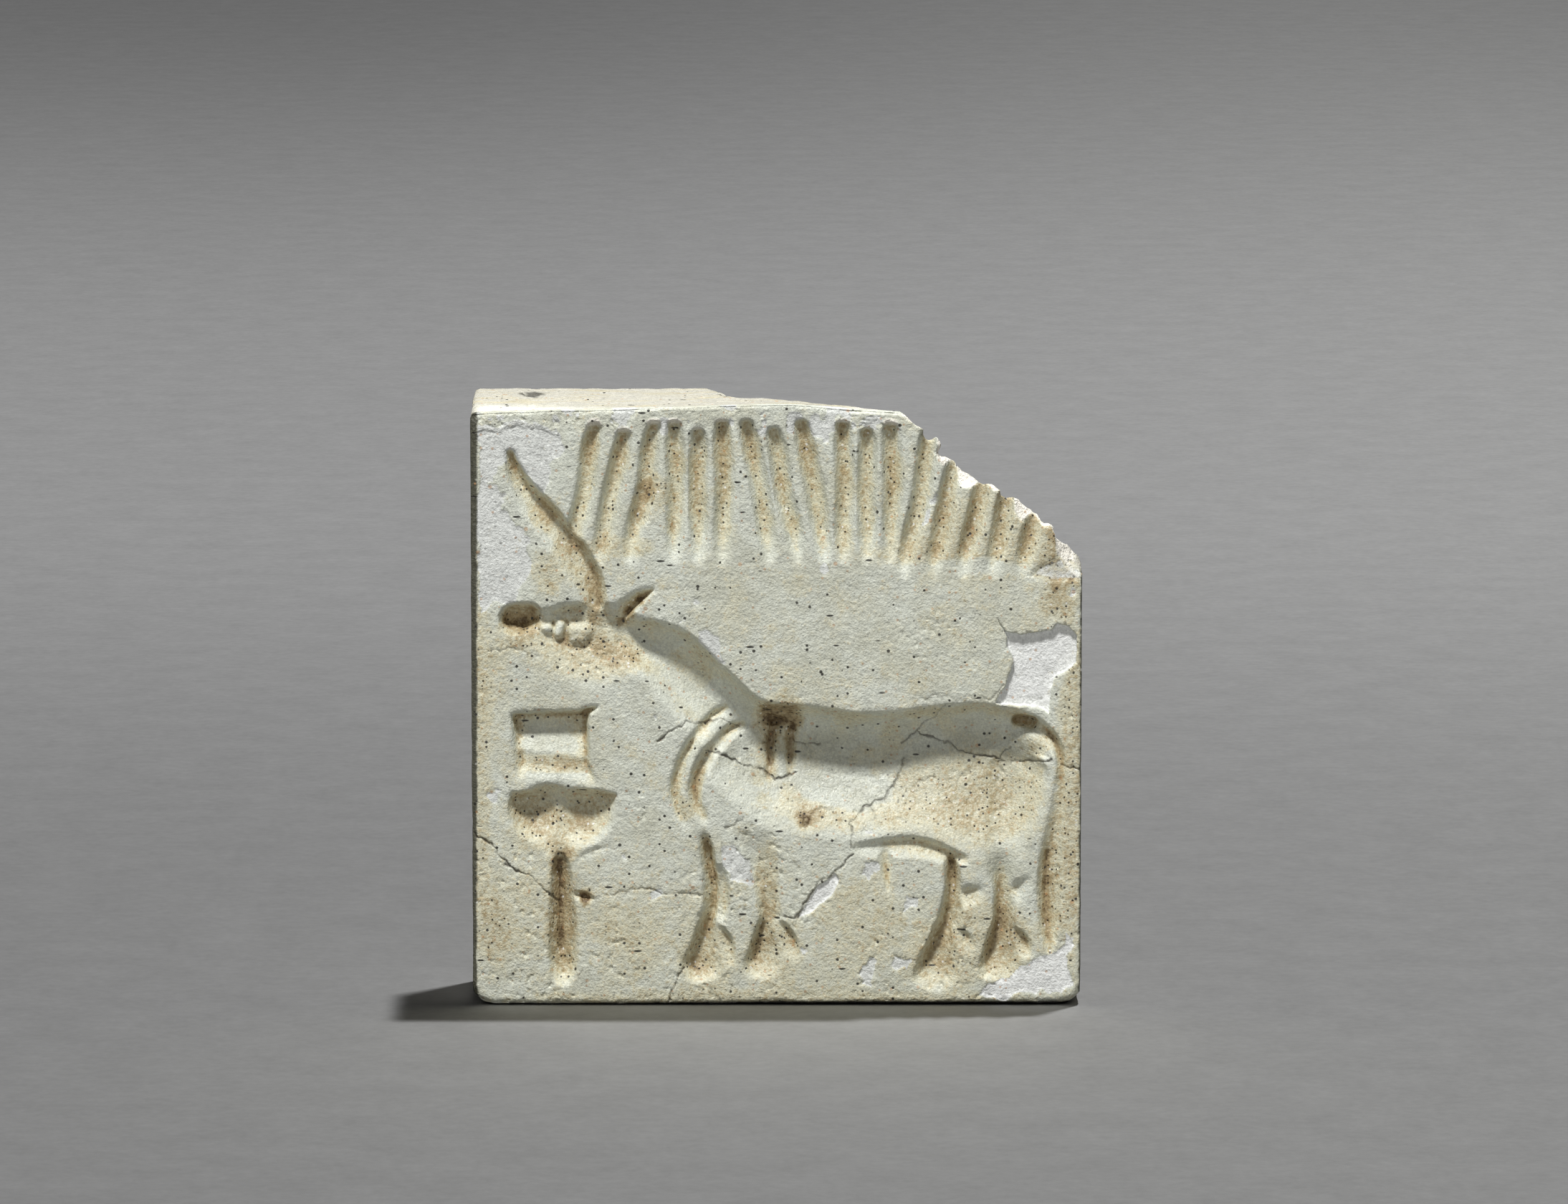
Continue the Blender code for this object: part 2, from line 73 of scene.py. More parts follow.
# Fineness of the front, as cells of its finest lattice, and the points kept from it
CELLS_X = 600
CELLS_Z = 592
MOST_FRONT_POINTS = 74000
FIRST_TOLERANCE = 0.004
TOLERANCE_STEP = 1.12
DENSE_RIM = 0.6

# Spacing of the points on the sides, the back and the boss, in millimetres
SIDE_SPACING = 0.36
NEAR_ARRIS = (0.0, 0.08, 0.17, 0.27, 0.4, 0.6)
MIDDLE_INSET = 0.95
MIDDLE_LEVELS = 17
BACK_INSETS = (0.1, 0.22, 0.4)
BACK_FIRST = 0.85
BACK_LAST = 0.6
BACK_SPACING = 0.5
BOSS_SPACING = 0.42
KEYS_PER_MM = 5000

# Wear and weathering, in millimetres
ARRIS = 0.3
LEAST_ARRIS = 0.12
MOST_ARRIS = 1.2
LOW_LEFT_WEAR = 0.6
LOW_RIGHT_WEAR = 0.5
LOW_FRONT_WEAR = 0.16
TOP_LEFT_WEAR = 0.55
TOP_RIGHT_WEAR = 0.5
RIM_SOFTNESS = 0.05
SKIN_LEVEL = 0.05
FLAKE_DEPTH = 0.06
DEEP_FLAKE_DEPTH = 0.34
CHIP_DEPTH = 0.16
CRACK_DEPTH = 0.12
BREAK_FOOT_DEPTH = 0.14

# The pit in the top face: its place from the left and from the face, its reach, the reach of the near-black
# colour painted over it, its depth
TOP_PIT = (3.5, 5.2)
TOP_PIT_REACH = (0.6, 0.8)
TOP_PIT_DARK_REACH = (0.7, 1.2)
TOP_PIT_DEPTH = 0.4

# The boss on the back, as in the solid, with what its pits take off the top
BOSS_RADIUS = 8.0
BOSS_FLARE = 0.7
BOSS_WEAR = 0.07
BOSS_HEIGHT = box_high[1] - BACK_Y + BOSS_WEAR
BOSS_CENTRE = (WIDTH / 2, HEIGHT / 2)
GROOVE_RADIUS = 0.95
GROOVE_DEPTH = 1.2
HOLE_RADIUS = 1.4
HOLE_FLOOR = 1.0

rng = np.random.default_rng(7)


# Noise

PERM = rng.permutation(256)
EDGE_WAYS = [way for way in itertools.product((-1.0, 0.0, 1.0), repeat=3) if sum(map(abs, way)) == 2]
GRADS = np.array((EDGE_WAYS * 2)[:16]).T.copy()


def noise3(p, seed=0):
    """Smooth gradient noise of about -1 to 1 at points, an array whose last axis is x, y, z."""
    p = np.asarray(p, float) + seed * 17.31
    cells, places, eases = [], [], []
    for k in range(3):
        whole = np.floor(p[..., k])
        f = p[..., k] - whole
        whole = whole.astype(np.int64)
        cells.append((whole & 255, (whole + 1) & 255))
        places.append((f, f - 1))
        ease = f * f * f * (f * (f * 6 - 15) + 10)
        eases.append((1 - ease, ease))
    total = np.zeros(p.shape[:-1])
    for a in (0, 1):
        first = PERM[cells[0][a]]
        for b in (0, 1):
            second = PERM[(first + cells[1][b]) & 255]
            share = eases[0][a] * eases[1][b]
            for c in (0, 1):
                slope = GRADS[:, PERM[(second + cells[2][c]) & 255] & 15]
                dot = slope[0] * places[0][a] + slope[1] * places[1][b] + slope[2] * places[2][c]
                total += share * eases[2][c] * dot
    return total


def fractal(p, octaves=3, seed=0):
    """Noise in octaves, each half as large and half as strong as the one before."""
    total, gain = 0.0, 1.0
    for k in range(octaves):
        total = total + gain * noise3(np.asarray(p) * 2.0**k, seed + k)
        gain *= 0.5
    return total


def smoothstep(low, high, value):
    """0 up to low, 1 from high, and a soft slope between, which falls where low is above high."""
    t = np.clip((value - low) / (high - low), 0.0, 1.0)
    return t * t * (3 - 2 * t)


# The front as a lattice of drawing points

lattice_x = np.linspace(0, DRAWN[0], CELLS_X + 1)
lattice_z = np.linspace(0, DRAWN[1], CELLS_Z + 1)
X, Z = np.meshgrid(lattice_x, lattice_z, indexing="ij")
CELL = DRAWN[0] / CELLS_X
EVERYWHERE = (slice(None), slice(None))
FAR = 99.0


def flat(scale, offset=0.0, part=EVERYWHERE):
    """Lattice points for the noise, in cells of this many millimetres."""
    x, z = X[part], Z[part]
    return np.stack([x / scale, z / scale, np.full_like(x, offset)], -1)


def blur(field, radius):
    """The field smoothed by a Gaussian of this many millimetres."""
    reach = max(1, int(3 * radius / CELL))
    offsets = np.arange(-reach, reach + 1)
    kernel = np.exp(-0.5 * (offsets * CELL / radius) ** 2)
    kernel /= kernel.sum()
    for axis in (0, 1):
        pad = [(0, 0), (0, 0)]
        pad[axis] = (reach, reach)
        padded = np.pad(field, pad, mode="edge")
        out = np.zeros_like(field)
        for weight, k in zip(kernel, range(2 * reach + 1)):
            out += weight * np.take(padded, np.arange(k, k + field.shape[axis]), axis=axis)
        field = out
    return field


def smooth_run(points, steps=6):
    """Rows along a smooth curve through the points, whose further columns follow along."""
    p = np.array(points, float)
    p = np.vstack([2 * p[0] - p[1], p, 2 * p[-1] - p[-2]])
    t = (np.arange(steps) / steps)[:, None]
    rows = []
    for a, b, c, d in zip(p[:-3], p[1:-2], p[2:-1], p[3:]):
        slope = (c - a) * t
        bend = (2 * a - 5 * b + 4 * c - d) * t**2
        turn = (3 * b - 3 * c + d - a) * t**3
        rows.append(b + 0.5 * (slope + bend + turn))
    rows.append(p[-2][None])
    return np.vstack(rows)


def window(points, margin):
    """The part of the lattice within the margin of the points."""
    low = np.searchsorted(lattice_x, min(p[0] for p in points) - margin)
    high = np.searchsorted(lattice_x, max(p[0] for p in points) + margin)
    under = np.searchsorted(lattice_z, min(p[1] for p in points) - margin)
    over = np.searchsorted(lattice_z, max(p[1] for p in points) + margin)
    return slice(max(low - 1, 0), high + 1), slice(max(under - 1, 0), over + 1)


def stroke(points, power=2.0, fade=1.0):
    """The part of the lattice round one stroke, and the share of its depth reached there.

    Each point is x, z, the half-widths left and right of the direction of travel, and the share of
    the depth reached there. The share is below zero outside the stroke. A higher power gives steeper
    walls, and a fade above 1 lets its right side run out without a rim.
    """
    part = window(points, max(max(p[2], p[3]) for p in points) * 1.3 + 0.3)
    x, z = X[part], Z[part]
    run = smooth_run(points)
    best = np.full(x.shape, -1.0)
    for a, b in zip(run[:-1], run[1:]):
        step = b[:2] - a[:2]
        length = max(math.hypot(*step), 1e-6)
        ux, uz = step / length
        along = (x - a[0]) * ux + (z - a[1]) * uz
        t = np.clip(along / length, 0.0, 1.0)
        past_end = along - t * length
        across = (z - a[1]) * ux - (x - a[0]) * uz
        left, right, share = (a[k] + t * (b[k] - a[k]) for k in (2, 3, 4))
        side = np.maximum(np.where(across > 0, left, right), 0.05)
        end = np.maximum(np.minimum(left, right), 0.05)
        rim = np.sqrt((across / side) ** 2 + (past_end / end) ** 2)
        rise = 1 - rim**power
        if fade > 1:
            faded = np.maximum(rise, 0.0) ** fade
            rise = np.where((across < 0) & (rise > 0), faded, rise)
        best = np.maximum(best, share * rise)
    return part, best


def cut(field, depth, points, power=2.0, blend=0.06, fade=1.0):
    """Sinks one stroke into the depth field, joined softly to what is cut already."""
    part, share = stroke(points, power, fade)
    add = np.maximum(share, -0.3) * depth
    old = field[part]
    near = np.maximum(blend - np.abs(old - add), 0.0) / blend
    field[part] = np.maximum(old, add) + near * near * blend / 4 * (add > -blend)


def engrave(field, depth, points, power=2.0):
    """Sinks one stroke further into what is cut already, or raises a ridge there by a negative depth."""
    part, share = stroke(points, power)
    old = field[part]
    deeper = np.maximum(np.maximum(old, 0.0) + depth * share, 0.0)
    field[part] = np.where(share > 0, deeper, old)


def even(points, half_width, share=1.0):
    """A stroke of one width and depth through the points."""
    return [(x, z, half_width, half_width, share) for x, z in points]


def widened(points, left_scale, right_scale):
    """The stroke with its half-widths scaled."""
    return [(x, z, left * left_scale, right * right_scale, share) for x, z, left, right, share in points]


def segment_distance(x, z, a, b):
    """Distance from the points to the straight line between a and b."""
    d = b - a
    t = np.clip(((x - a[0]) * d[0] + (z - a[1]) * d[1]) / max(d @ d, 1e-9), 0, 1)
    return np.hypot(x - a[0] - t * d[0], z - a[1] - t * d[1])


def line_distance(points, jitter=0.0, seed=0, margin=0.8):
    """Distance from each lattice point to a line through the points, whose run can be made uneven.

    Further off than the margin it is only a large number.
    """
    p = np.array(points, float)
    part = window(points, margin)
    x = X[part] + jitter * fractal(flat(0.45, 0.0, part), 2, seed)
    z = Z[part] + jitter * fractal(flat(0.45, 0.0, part), 2, seed + 9)
    best = np.full(x.shape, FAR)
    for a, b in zip(p[:-1], p[1:]):
        best = np.minimum(best, segment_distance(x, z, a, b))
    distance = np.full(X.shape, FAR)
    distance[part] = best
    return distance


def inside(points, jitter=0.25, seed=0, soft=0.08):
    """1 inside the outline and 0 outside it, with an uneven edge."""
    p = np.array(points, float)
    part = window(points, 2 * jitter + soft + 0.2)
    x = X[part] + jitter * fractal(flat(1.1, 0.0, part), 4, seed)
    z = Z[part] + jitter * fractal(flat(1.1, 0.0, part), 4, seed + 5)
    within = np.zeros(x.shape, bool)
    best = np.full(x.shape, FAR)
    for a, b in zip(p, np.roll(p, -1, 0)):
        best = np.minimum(best, segment_distance(x, z, a, b))
        run, rise = b - a
        if abs(rise) > 1e-9:
            within ^= ((a[1] > z) != (b[1] > z)) & (x < a[0] + (z - a[1]) * run / rise)
    mask = np.zeros(X.shape)
    mask[part] = smoothstep(-soft, soft, np.where(within, best, -best))
    return mask


# Carving

def carve_bull(field):
    """The trunk, neck, head, muzzle pit, horn, ear, belly line and tail, as hollows in the slab."""
    trunk = [
        (15.6, 14.2, 1.7, 3.2, 0.42), (17.2, 15.2, 2.5, 4.8, 0.85), (19.5, 15.1, 2.65, 5.2, 1),
        (22.5, 14.75, 2.6, 5.1, 1.08), (25, 14.85, 2.55, 5.3, 1), (27.3, 15.1, 2.6, 5.8, 0.9),
        (29.5, 15.3, 2.6, 6.6, 0.92), (31.2, 15.2, 2.5, 6.8, 0.8), (32.2, 15, 2.4, 6.2, 0.6),
    ]
    neck = [
        (8.9, 21.9, 1, 1.6, 0.45), (10.6, 21.3, 1.5, 2, 0.62), (11.9, 20.6, 1.7, 2.3, 0.7),
        (13.1, 19.5, 1.7, 2.5, 0.74), (14.4, 18.2, 1.7, 2.6, 0.77), (15.9, 16.8, 1.75, 2.6, 0.8),
        (17.6, 15.6, 2.1, 3.2, 0.95),
    ]
    head = [
        (3, 22.7, 0.7, 0.9, 0.4), (4.6, 22.6, 0.9, 2.6, 0.7), (6.2, 22.4, 1.45, 3.6, 0.95),
        (8, 22.1, 1.7, 3.6, 1), (9.6, 21.7, 1.2, 2.2, 0.8),
    ]
    cut(field, 2.0, trunk, power=2.3, blend=0.5, fade=2.1)
    cut(field, 2.0, neck, power=2.3, blend=0.4, fade=1.6)
    belly_side = smoothstep(15.5, 13.0, Z) * smoothstep(13.0, 15.0, X)
    field += belly_side * (blur(field, 0.5) - field)
    cut(field, 0.8, head, power=2.2, blend=0.3, fade=2.0)
    cut(field, 1.15, even([(2.6, 22.8), (3.35, 22.85)], 0.98), power=2.2)
    cut(field, 1.3, even([(2.9, 22.65), (3.1, 22.65)], 0.75), power=2.4)
    horn = [
        (2.35, 32.5, 0.35, 0.3, 0.5), (2.6, 31.6, 0.5, 0.5, 0.8), (3.15, 30.6, 0.6, 0.8, 0.95),
        (4.1, 29.5, 0.64, 1.1, 1), (5.5, 27.9, 0.64, 1.25, 1), (6.55, 26.4, 0.66, 1.35, 1),
        (7.25, 25, 0.66, 1.3, 0.95), (7.5, 23.5, 0.5, 1.1, 0.9),
    ]
    cut(field, 0.82, horn, power=1.7)
    ear = [
        (8.7, 22.3, 0.9, 0.16, 0.6), (9, 22.7, 1.1, 0.16, 0.9), (9.6, 23.4, 0.95, 0.15, 1),
        (10.2, 24, 0.7, 0.14, 0.85), (10.8, 24.55, 0.15, 0.1, 0.2),
    ]
    cut(field, 0.85, ear, power=1.15)
    belly = [
        (22.8, 9.3, 0.35, 0.5, 0.35), (24.5, 9.5, 0.5, 0.75, 0.8), (26, 9.6, 0.5, 0.85, 0.95),
        (27.3, 9.3, 0.5, 0.75, 1), (28.3, 8.8, 0.5, 0.5, 0.9), (29.1, 8.6, 0.35, 0.3, 0.4),
    ]
    cut(field, 0.52, belly, power=1.9)
    belly_tip = [(24.4, 9, 0.55, 0.5, 1), (24.5, 8, 0.35, 0.35, 0.9), (24.6, 6.8, 0.1, 0.1, 0.4)]
    cut(field, 0.4, belly_tip)
    tail = [
        (33.3, 16.5, 0.5, 0.4, 1.2), (34.1, 15.9, 0.45, 0.35, 1), (34.65, 15, 0.35, 0.35, 0.8),
        (34.85, 13.8, 0.3, 0.4, 0.5), (34.75, 12.4, 0.4, 0.5, 0.45), (34.5, 10.8, 0.55, 0.55, 0.6),
        (34.2, 9.3, 0.75, 0.6, 0.85), (34, 8, 0.9, 0.6, 0.95), (33.95, 6.6, 0.9, 0.6, 1),
        (33.98, 5.2, 0.8, 0.55, 0.9), (34.05, 4, 0.55, 0.4, 0.7), (34.15, 3.2, 0.2, 0.2, 0.3),
    ]
    cut(field, 0.64, tail, power=1.8)
    engrave(field, 0.14, even([(34, 9), (33.95, 7.5), (33.95, 6), (34, 4.8)], 0.2))
    cut(field, 1.7, even([(32.2, 16.65), (33, 16.55)], 0.6), power=2.0, blend=0.15)


def carve_rump(field):
    """The raised crescent under the root of the tail, and the hollow of the haunch below it."""
    crescent = [
        (31.9, 15.35, 0.4, 0.3, 0.4), (32.8, 15.65, 0.5, 0.75, 0.9), (33.6, 15.3, 0.5, 0.95, 1),
        (34.2, 14.5, 0.35, 0.8, 0.8), (34.4, 13.6, 0.2, 0.3, 0.3),
    ]
    hollow = [(31.5, 14.7, 0.4, 0.4, 0.5), (32.5, 14.15, 0.6, 0.5, 1), (33.5, 13.4, 0.4, 0.4, 0.5)]
    haunch = [
        (31.9, 13.5, 2.1, 1.5, 0.9), (32.1, 12.2, 1.9, 1.7, 1), (31.8, 10.8, 1.5, 1.4, 0.9),
        (31.3, 9.3, 1.2, 1.1, 0.5),
    ]
    engrave(field, 0.40, haunch, power=2.2)
    engrave(field, -0.42, crescent, power=2.2)
    engrave(field, 0.16, hollow)


def carve_head(field):
    """The raised lumps of the jaw, and the wrinkle over the eye."""
    engrave(field, -0.26, even([(4.35, 22.2), (4.6, 22.15)], 0.3))
    engrave(field, -0.34, even([(5.15, 21.9), (5.3, 22.35)], 0.36))
    engrave(field, -0.36, [(6.05, 22.05, 0.5, 0.65, 0.95), (6.7, 22, 0.55, 0.65, 1)])
    engrave(field, -0.20, even([(5.95, 21.4), (6.6, 21.4)], 0.32))
    engrave(field, 0.14, even([(4.9, 22.6), (4.85, 21.8)], 0.12))
    engrave(field, 0.14, even([(5.62, 22.6), (5.6, 21.6)], 0.12))
    jaw = [
        (4.4, 21.7, 0.2, 0.3, 0.6), (5.3, 21.45, 0.25, 0.35, 1), (6.4, 21.15, 0.25, 0.35, 1),
        (7.1, 21.4, 0.15, 0.2, 0.4),
    ]
    cheek = [(8.2, 22.4, 0.3, 0.3, 0.6), (8.9, 22.6, 0.3, 0.3, 1)]
    brow = [(4.9, 23.1, 0.5, 0.2, 0.6), (6, 23.2, 0.6, 0.3, 1), (6.9, 23.4, 0.4, 0.3, 0.6)]
    engrave(field, 0.10, jaw)
    engrave(field, 0.16, cheek)
    engrave(field, 0.18, brow)


def carve_folds(field):
    """The two folds of skin at the chest, cut into the neck's hollow as well as beside it."""
    outer = [
        (15, 17.35, 0.25, 0.25, 0.4), (14.3, 16.9, 0.3, 0.3, 0.9), (13.5, 16.15, 0.35, 0.32, 1),
        (12.95, 15.4, 0.38, 0.32, 1), (12.55, 14.7, 0.4, 0.32, 1), (12.25, 13.9, 0.4, 0.3, 1),
        (12.03, 13.1, 0.4, 0.3, 0.9), (12, 12.4, 0.38, 0.28, 0.8), (12.2, 11.5, 0.3, 0.25, 0.5),
        (12.6, 10.7, 0.2, 0.2, 0.2),
    ]
    inner = [
        (16, 16.35, 0.3, 0.3, 0.5), (15.3, 16.05, 0.4, 0.35, 0.9), (14.7, 15.5, 0.5, 0.4, 1),
        (14.1, 14.95, 0.55, 0.42, 1), (13.65, 14.25, 0.55, 0.42, 1), (13.35, 13.5, 0.5, 0.4, 1),
        (13.2, 12.7, 0.45, 0.38, 0.9), (13.3, 11.9, 0.4, 0.35, 0.7), (13.7, 11.1, 0.3, 0.3, 0.35),
    ]
    engrave(field, 0.48, widened(outer, 1.15, 1.25), power=1.6)
    engrave(field, 0.58, widened(inner, 1.05, 1.25), power=1.6)


def carve_shoulder(field):
    """The rough drilled patch at the shoulder and the two grooves that run down from it."""
    rough = [(17.5, 17.1, 0.6, 0.8, 0.9), (18.3, 17, 0.7, 1, 1), (19.2, 16.6, 0.55, 0.9, 0.8)]
    left_streak = [
        (17.8, 16.3, 0.3, 0.3, 0.8), (17.65, 15.2, 0.34, 0.3, 1), (17.6, 14.2, 0.32, 0.28, 1),
        (17.5, 13.3, 0.22, 0.22, 0.6),
    ]
    right_streak = [
        (18.95, 16.2, 0.3, 0.3, 0.6), (18.85, 15.2, 0.32, 0.3, 1), (18.8, 14.3, 0.3, 0.28, 1),
        (18.75, 13.4, 0.2, 0.2, 0.5),
    ]
    engrave(field, 0.26, rough, power=3.0)
    engrave(field, 0.25, even([(17.8, 16.6), (18.25, 16.55)], 0.42))
    engrave(field, 0.34, left_streak)
    engrave(field, 0.34, right_streak)
    ridges = np.abs(fractal(np.stack([X / 1.4, Z / 0.16, 0 * X], -1), 2, 33))
    part, share = stroke(rough, 3.0)
    field[part] += 0.26 * np.clip(share, 0, 1) * ridges[part]


def carve_legs(field):
    """The legs, drawn downwards: the lists give the half-width on the right first, then on the left."""
    front_crease = [
        (13.75, 9.9, 0.35, 0.35, 0.3), (13.95, 9.2, 0.38, 0.55, 0.75), (14.15, 8.2, 0.35, 0.62, 1),
        (14.35, 7.3, 0.32, 0.75, 1), (14.4, 6.4, 0.32, 0.8, 1), (14.3, 5.5, 0.32, 0.8, 1),
        (14.05, 4.8, 0.42, 0.75, 1), (13.75, 3.9, 1, 0.75, 0.9), (13.4, 3, 1.55, 0.75, 0.85),
        (13.2, 2.45, 1.7, 0.85, 0.8), (13.2, 2.1, 1.5, 0.8, 0.55),
    ]
    front_step = [
        (14.65, 8.05, 0.35, 0.4, 0.4), (14.75, 7.4, 0.4, 0.5, 0.85), (14.8, 6.4, 0.42, 0.5, 1),
        (14.75, 5.6, 0.4, 0.5, 0.9), (14.6, 5, 0.3, 0.4, 0.5),
    ]
    second_front = [
        (15.9, 9.9, 0.9, 0.3, 0.2), (16.45, 9.2, 1.6, 0.5, 0.5), (16.85, 8.2, 1.55, 0.6, 0.7),
        (17.05, 7.3, 1.4, 0.6, 0.8), (17.3, 6.3, 1.15, 0.5, 0.9), (17.4, 5.3, 1.05, 0.45, 1),
        (17.3, 4.6, 0.9, 0.35, 0.9),
    ]
    second_branch = [
        (17.25, 4.8, 0.7, 0.4, 0.8), (17.1, 4.2, 1.1, 0.5, 0.9), (16.95, 3.4, 1.6, 0.6, 0.95),
        (16.75, 2.8, 1.8, 0.6, 0.9), (16.65, 2.3, 1.7, 0.7, 0.6),
    ]
    hind = [
        (28.1, 8.9, 0.4, 0.35, 0.5), (28.3, 8.4, 0.5, 0.45, 0.85), (28.4, 7.6, 0.55, 0.5, 1),
        (28.4, 6.7, 0.65, 0.55, 1), (28.25, 5.8, 0.85, 0.6, 1), (28.1, 5, 0.9, 0.65, 1),
        (27.8, 4.2, 1, 0.72, 1), (27.45, 3.4, 1.4, 0.7, 1), (27.1, 2.7, 1.9, 0.7, 0.9),
        (26.7, 2.1, 1.9, 0.6, 0.6), (26.3, 1.6, 1.2, 0.3, 0.3),
    ]
    second_hind = [
        (31.2, 9.2, 0.9, 0.9, 0.3), (31.2, 8.5, 0.9, 0.85, 0.55), (31.2, 7.8, 0.85, 0.7, 0.8),
        (31.2, 6.8, 0.9, 0.42, 0.95), (31.2, 5.8, 1, 0.42, 0.95), (31.2, 4.8, 1, 0.48, 1),
        (31, 4, 1.3, 0.6, 1), (30.8, 3.2, 1.7, 0.62, 1), (30.6, 2.5, 1.8, 0.65, 0.8),
        (30.5, 2.1, 1.5, 0.6, 0.5),
    ]
    cut(field, 0.95, front_crease, power=1.5)
    cut(field, 0.5, front_step, power=4.0)
    cut(field, 0.5, second_front, power=1.8)
    cut(field, 0.74, second_branch, power=1.5)
    cut(field, 0.88, hind, power=1.5)
    cut(field, 0.84, second_hind, power=1.6, blend=0.2)
    claws = [
        [(14.35, 4.85, 0.25, 0.5, 0.6), (14.85, 4.3, 0.28, 0.9, 0.95), (15.2, 3.7, 0.28, 1.1, 1),
         (15.35, 3, 0.25, 1, 0.7), (15.3, 2.5, 0.2, 0.6, 0.3)],
        [(18.1, 4.95, 0.22, 0.4, 0.6), (18.5, 4.6, 0.25, 0.9, 0.9), (18.9, 4, 0.28, 1.1, 1),
         (19.15, 3.3, 0.25, 1, 0.7), (19.2, 2.8, 0.2, 0.6, 0.3)],
        [(28.5, 4.5, 0.25, 0.5, 0.6), (29.2, 4.1, 0.28, 0.9, 0.7), (29.6, 3.5, 0.2, 0.8, 0.4)],
        [(31.8, 4.6, 0.28, 0.6, 0.8), (32.5, 4.1, 0.28, 1, 1), (32.85, 3.5, 0.28, 1.1, 0.9),
         (32.9, 3, 0.2, 0.7, 0.4)],
    ]
    hocks = [
        [(28.7, 6.4, 0.55, 0.8, 0.8), (29.2, 6.6, 0.6, 0.9, 1), (29.8, 6.8, 0.4, 0.7, 0.7),
         (30.3, 7, 0.2, 0.3, 0.2)],
        [(31.6, 6.55, 0.5, 0.7, 0.8), (32.1, 6.9, 0.55, 0.8, 1), (32.7, 7.4, 0.25, 0.4, 0.4)],
    ]
    for points in claws:
        cut(field, 0.42, points, power=1.5, blend=0.15)
    for points in hocks:
        cut(field, 0.40, points, power=1.3, blend=0.12)


def carve_cage(field):
    """The cage over the bowl: a steep top, a long bright shelf below it and a shallow second step."""
    part = window([(1.8, 12.9), (8, 18)], margin=0.0)
    x, z = X[part], Z[part]
    wave = 0.06 * fractal(flat(0.9, 3.3, part), 2, 91)
    top = np.interp(x, [2.1, 3.0, 5.0, 6.4, 7.0, 7.8], [17.3, 17.45, 17.55, 17.55, 17.75, 17.9]) + wave
    tilt = 0.12 * (x - 4.8) * smoothstep(16.0, 14.8, z)
    steps = [13.1, 14.05, 14.5, 14.85, 16.0, 16.3, 17.1]
    level = np.interp(z + tilt, steps, [0.0, 0.42, 0.47, 0.42, 0.88, 0.92, 0.88])
    wall = smoothstep(0.0, 0.5, top - z)
    left = np.interp(z, [13.1, 16.4, 17.3], [2.45, 2.3, 2.1]) + wave
    right = np.interp(z, [13.1, 14.3, 16.5, 17.2, 17.8], [7.6, 7.1, 7.0, 7.15, 7.9]) - wave
    sides = smoothstep(0.0, 0.5, x - left) * smoothstep(0.0, 0.42, right - x)
    notch = 1 - 0.6 * np.exp(-(((x - 5.15) / 0.14) ** 2)) * smoothstep(14.1, 13.8, z)
    field[part] = np.maximum(field[part], level * wall * sides * notch - 0.01)
    engrave(field, 0.16, even([(6.75, 17.2), (6.75, 16.2), (6.8, 15.2), (6.75, 14.3)], 0.16))
    engrave(field, 0.10, even([(3.05, 15), (3, 14.3), (2.75, 13.6)], 0.13))


def carve_stand(field):
    """The stand: its cage, the bowl below it, the post and the chips beside the post."""
    carve_cage(field)
    bowl = [
        (2.45, 12.45, 0.2, 0.25, 0.3), (3.1, 12, 0.72, 1.5, 0.8), (3.9, 11.75, 1.15, 2.1, 1),
        (4.5, 11.95, 1.25, 1.9, 0.85), (5.2, 11.95, 0.95, 1.8, 0.75), (6.4, 11.6, 1.3, 2.2, 1),
        (7.5, 12, 0.78, 1.5, 0.8), (8.4, 12.4, 0.2, 0.25, 0.3),
    ]
    cut(field, 1.1, bowl, power=2.4)
    under_bowl = [(5.2, 11.2, 2.1, 2.1, 1), (5.2, 9.9, 1.2, 1.2, 0.5)]
    cut(field, 0.5, under_bowl, blend=0.3)
    post = [
        (5.15, 9.3, 0.2, 0.2, 0.2), (5.2, 8.7, 0.42, 0.38, 0.5), (5.25, 8, 0.62, 0.55, 0.85),
        (5.3, 6, 0.82, 0.72, 1), (5.33, 3.9, 0.95, 0.82, 1), (5.36, 2.5, 0.95, 0.85, 0.95),
        (5.4, 1.95, 0.8, 0.8, 0.6),
    ]
    cut(field, 0.74, post, power=2.3)
    engrave(field, 0.20, even([(5.22, 7.8), (5.25, 6.2), (5.22, 4.2), (5.25, 3.2)], 0.2))
    post_chip = [(6.2, 6.55, 0.3, 0.25, 0.8), (6.7, 6.4, 0.28, 0.22, 1), (7.2, 6.3, 0.1, 0.1, 0.4)]
    scratch = [(6.3, 8.75, 0.1, 0.2, 0.6), (7.2, 9.2, 0.12, 0.3, 1), (8.1, 9.45, 0.08, 0.2, 0.5)]
    cut(field, 0.4, post_chip)
    cut(field, 0.14, scratch)


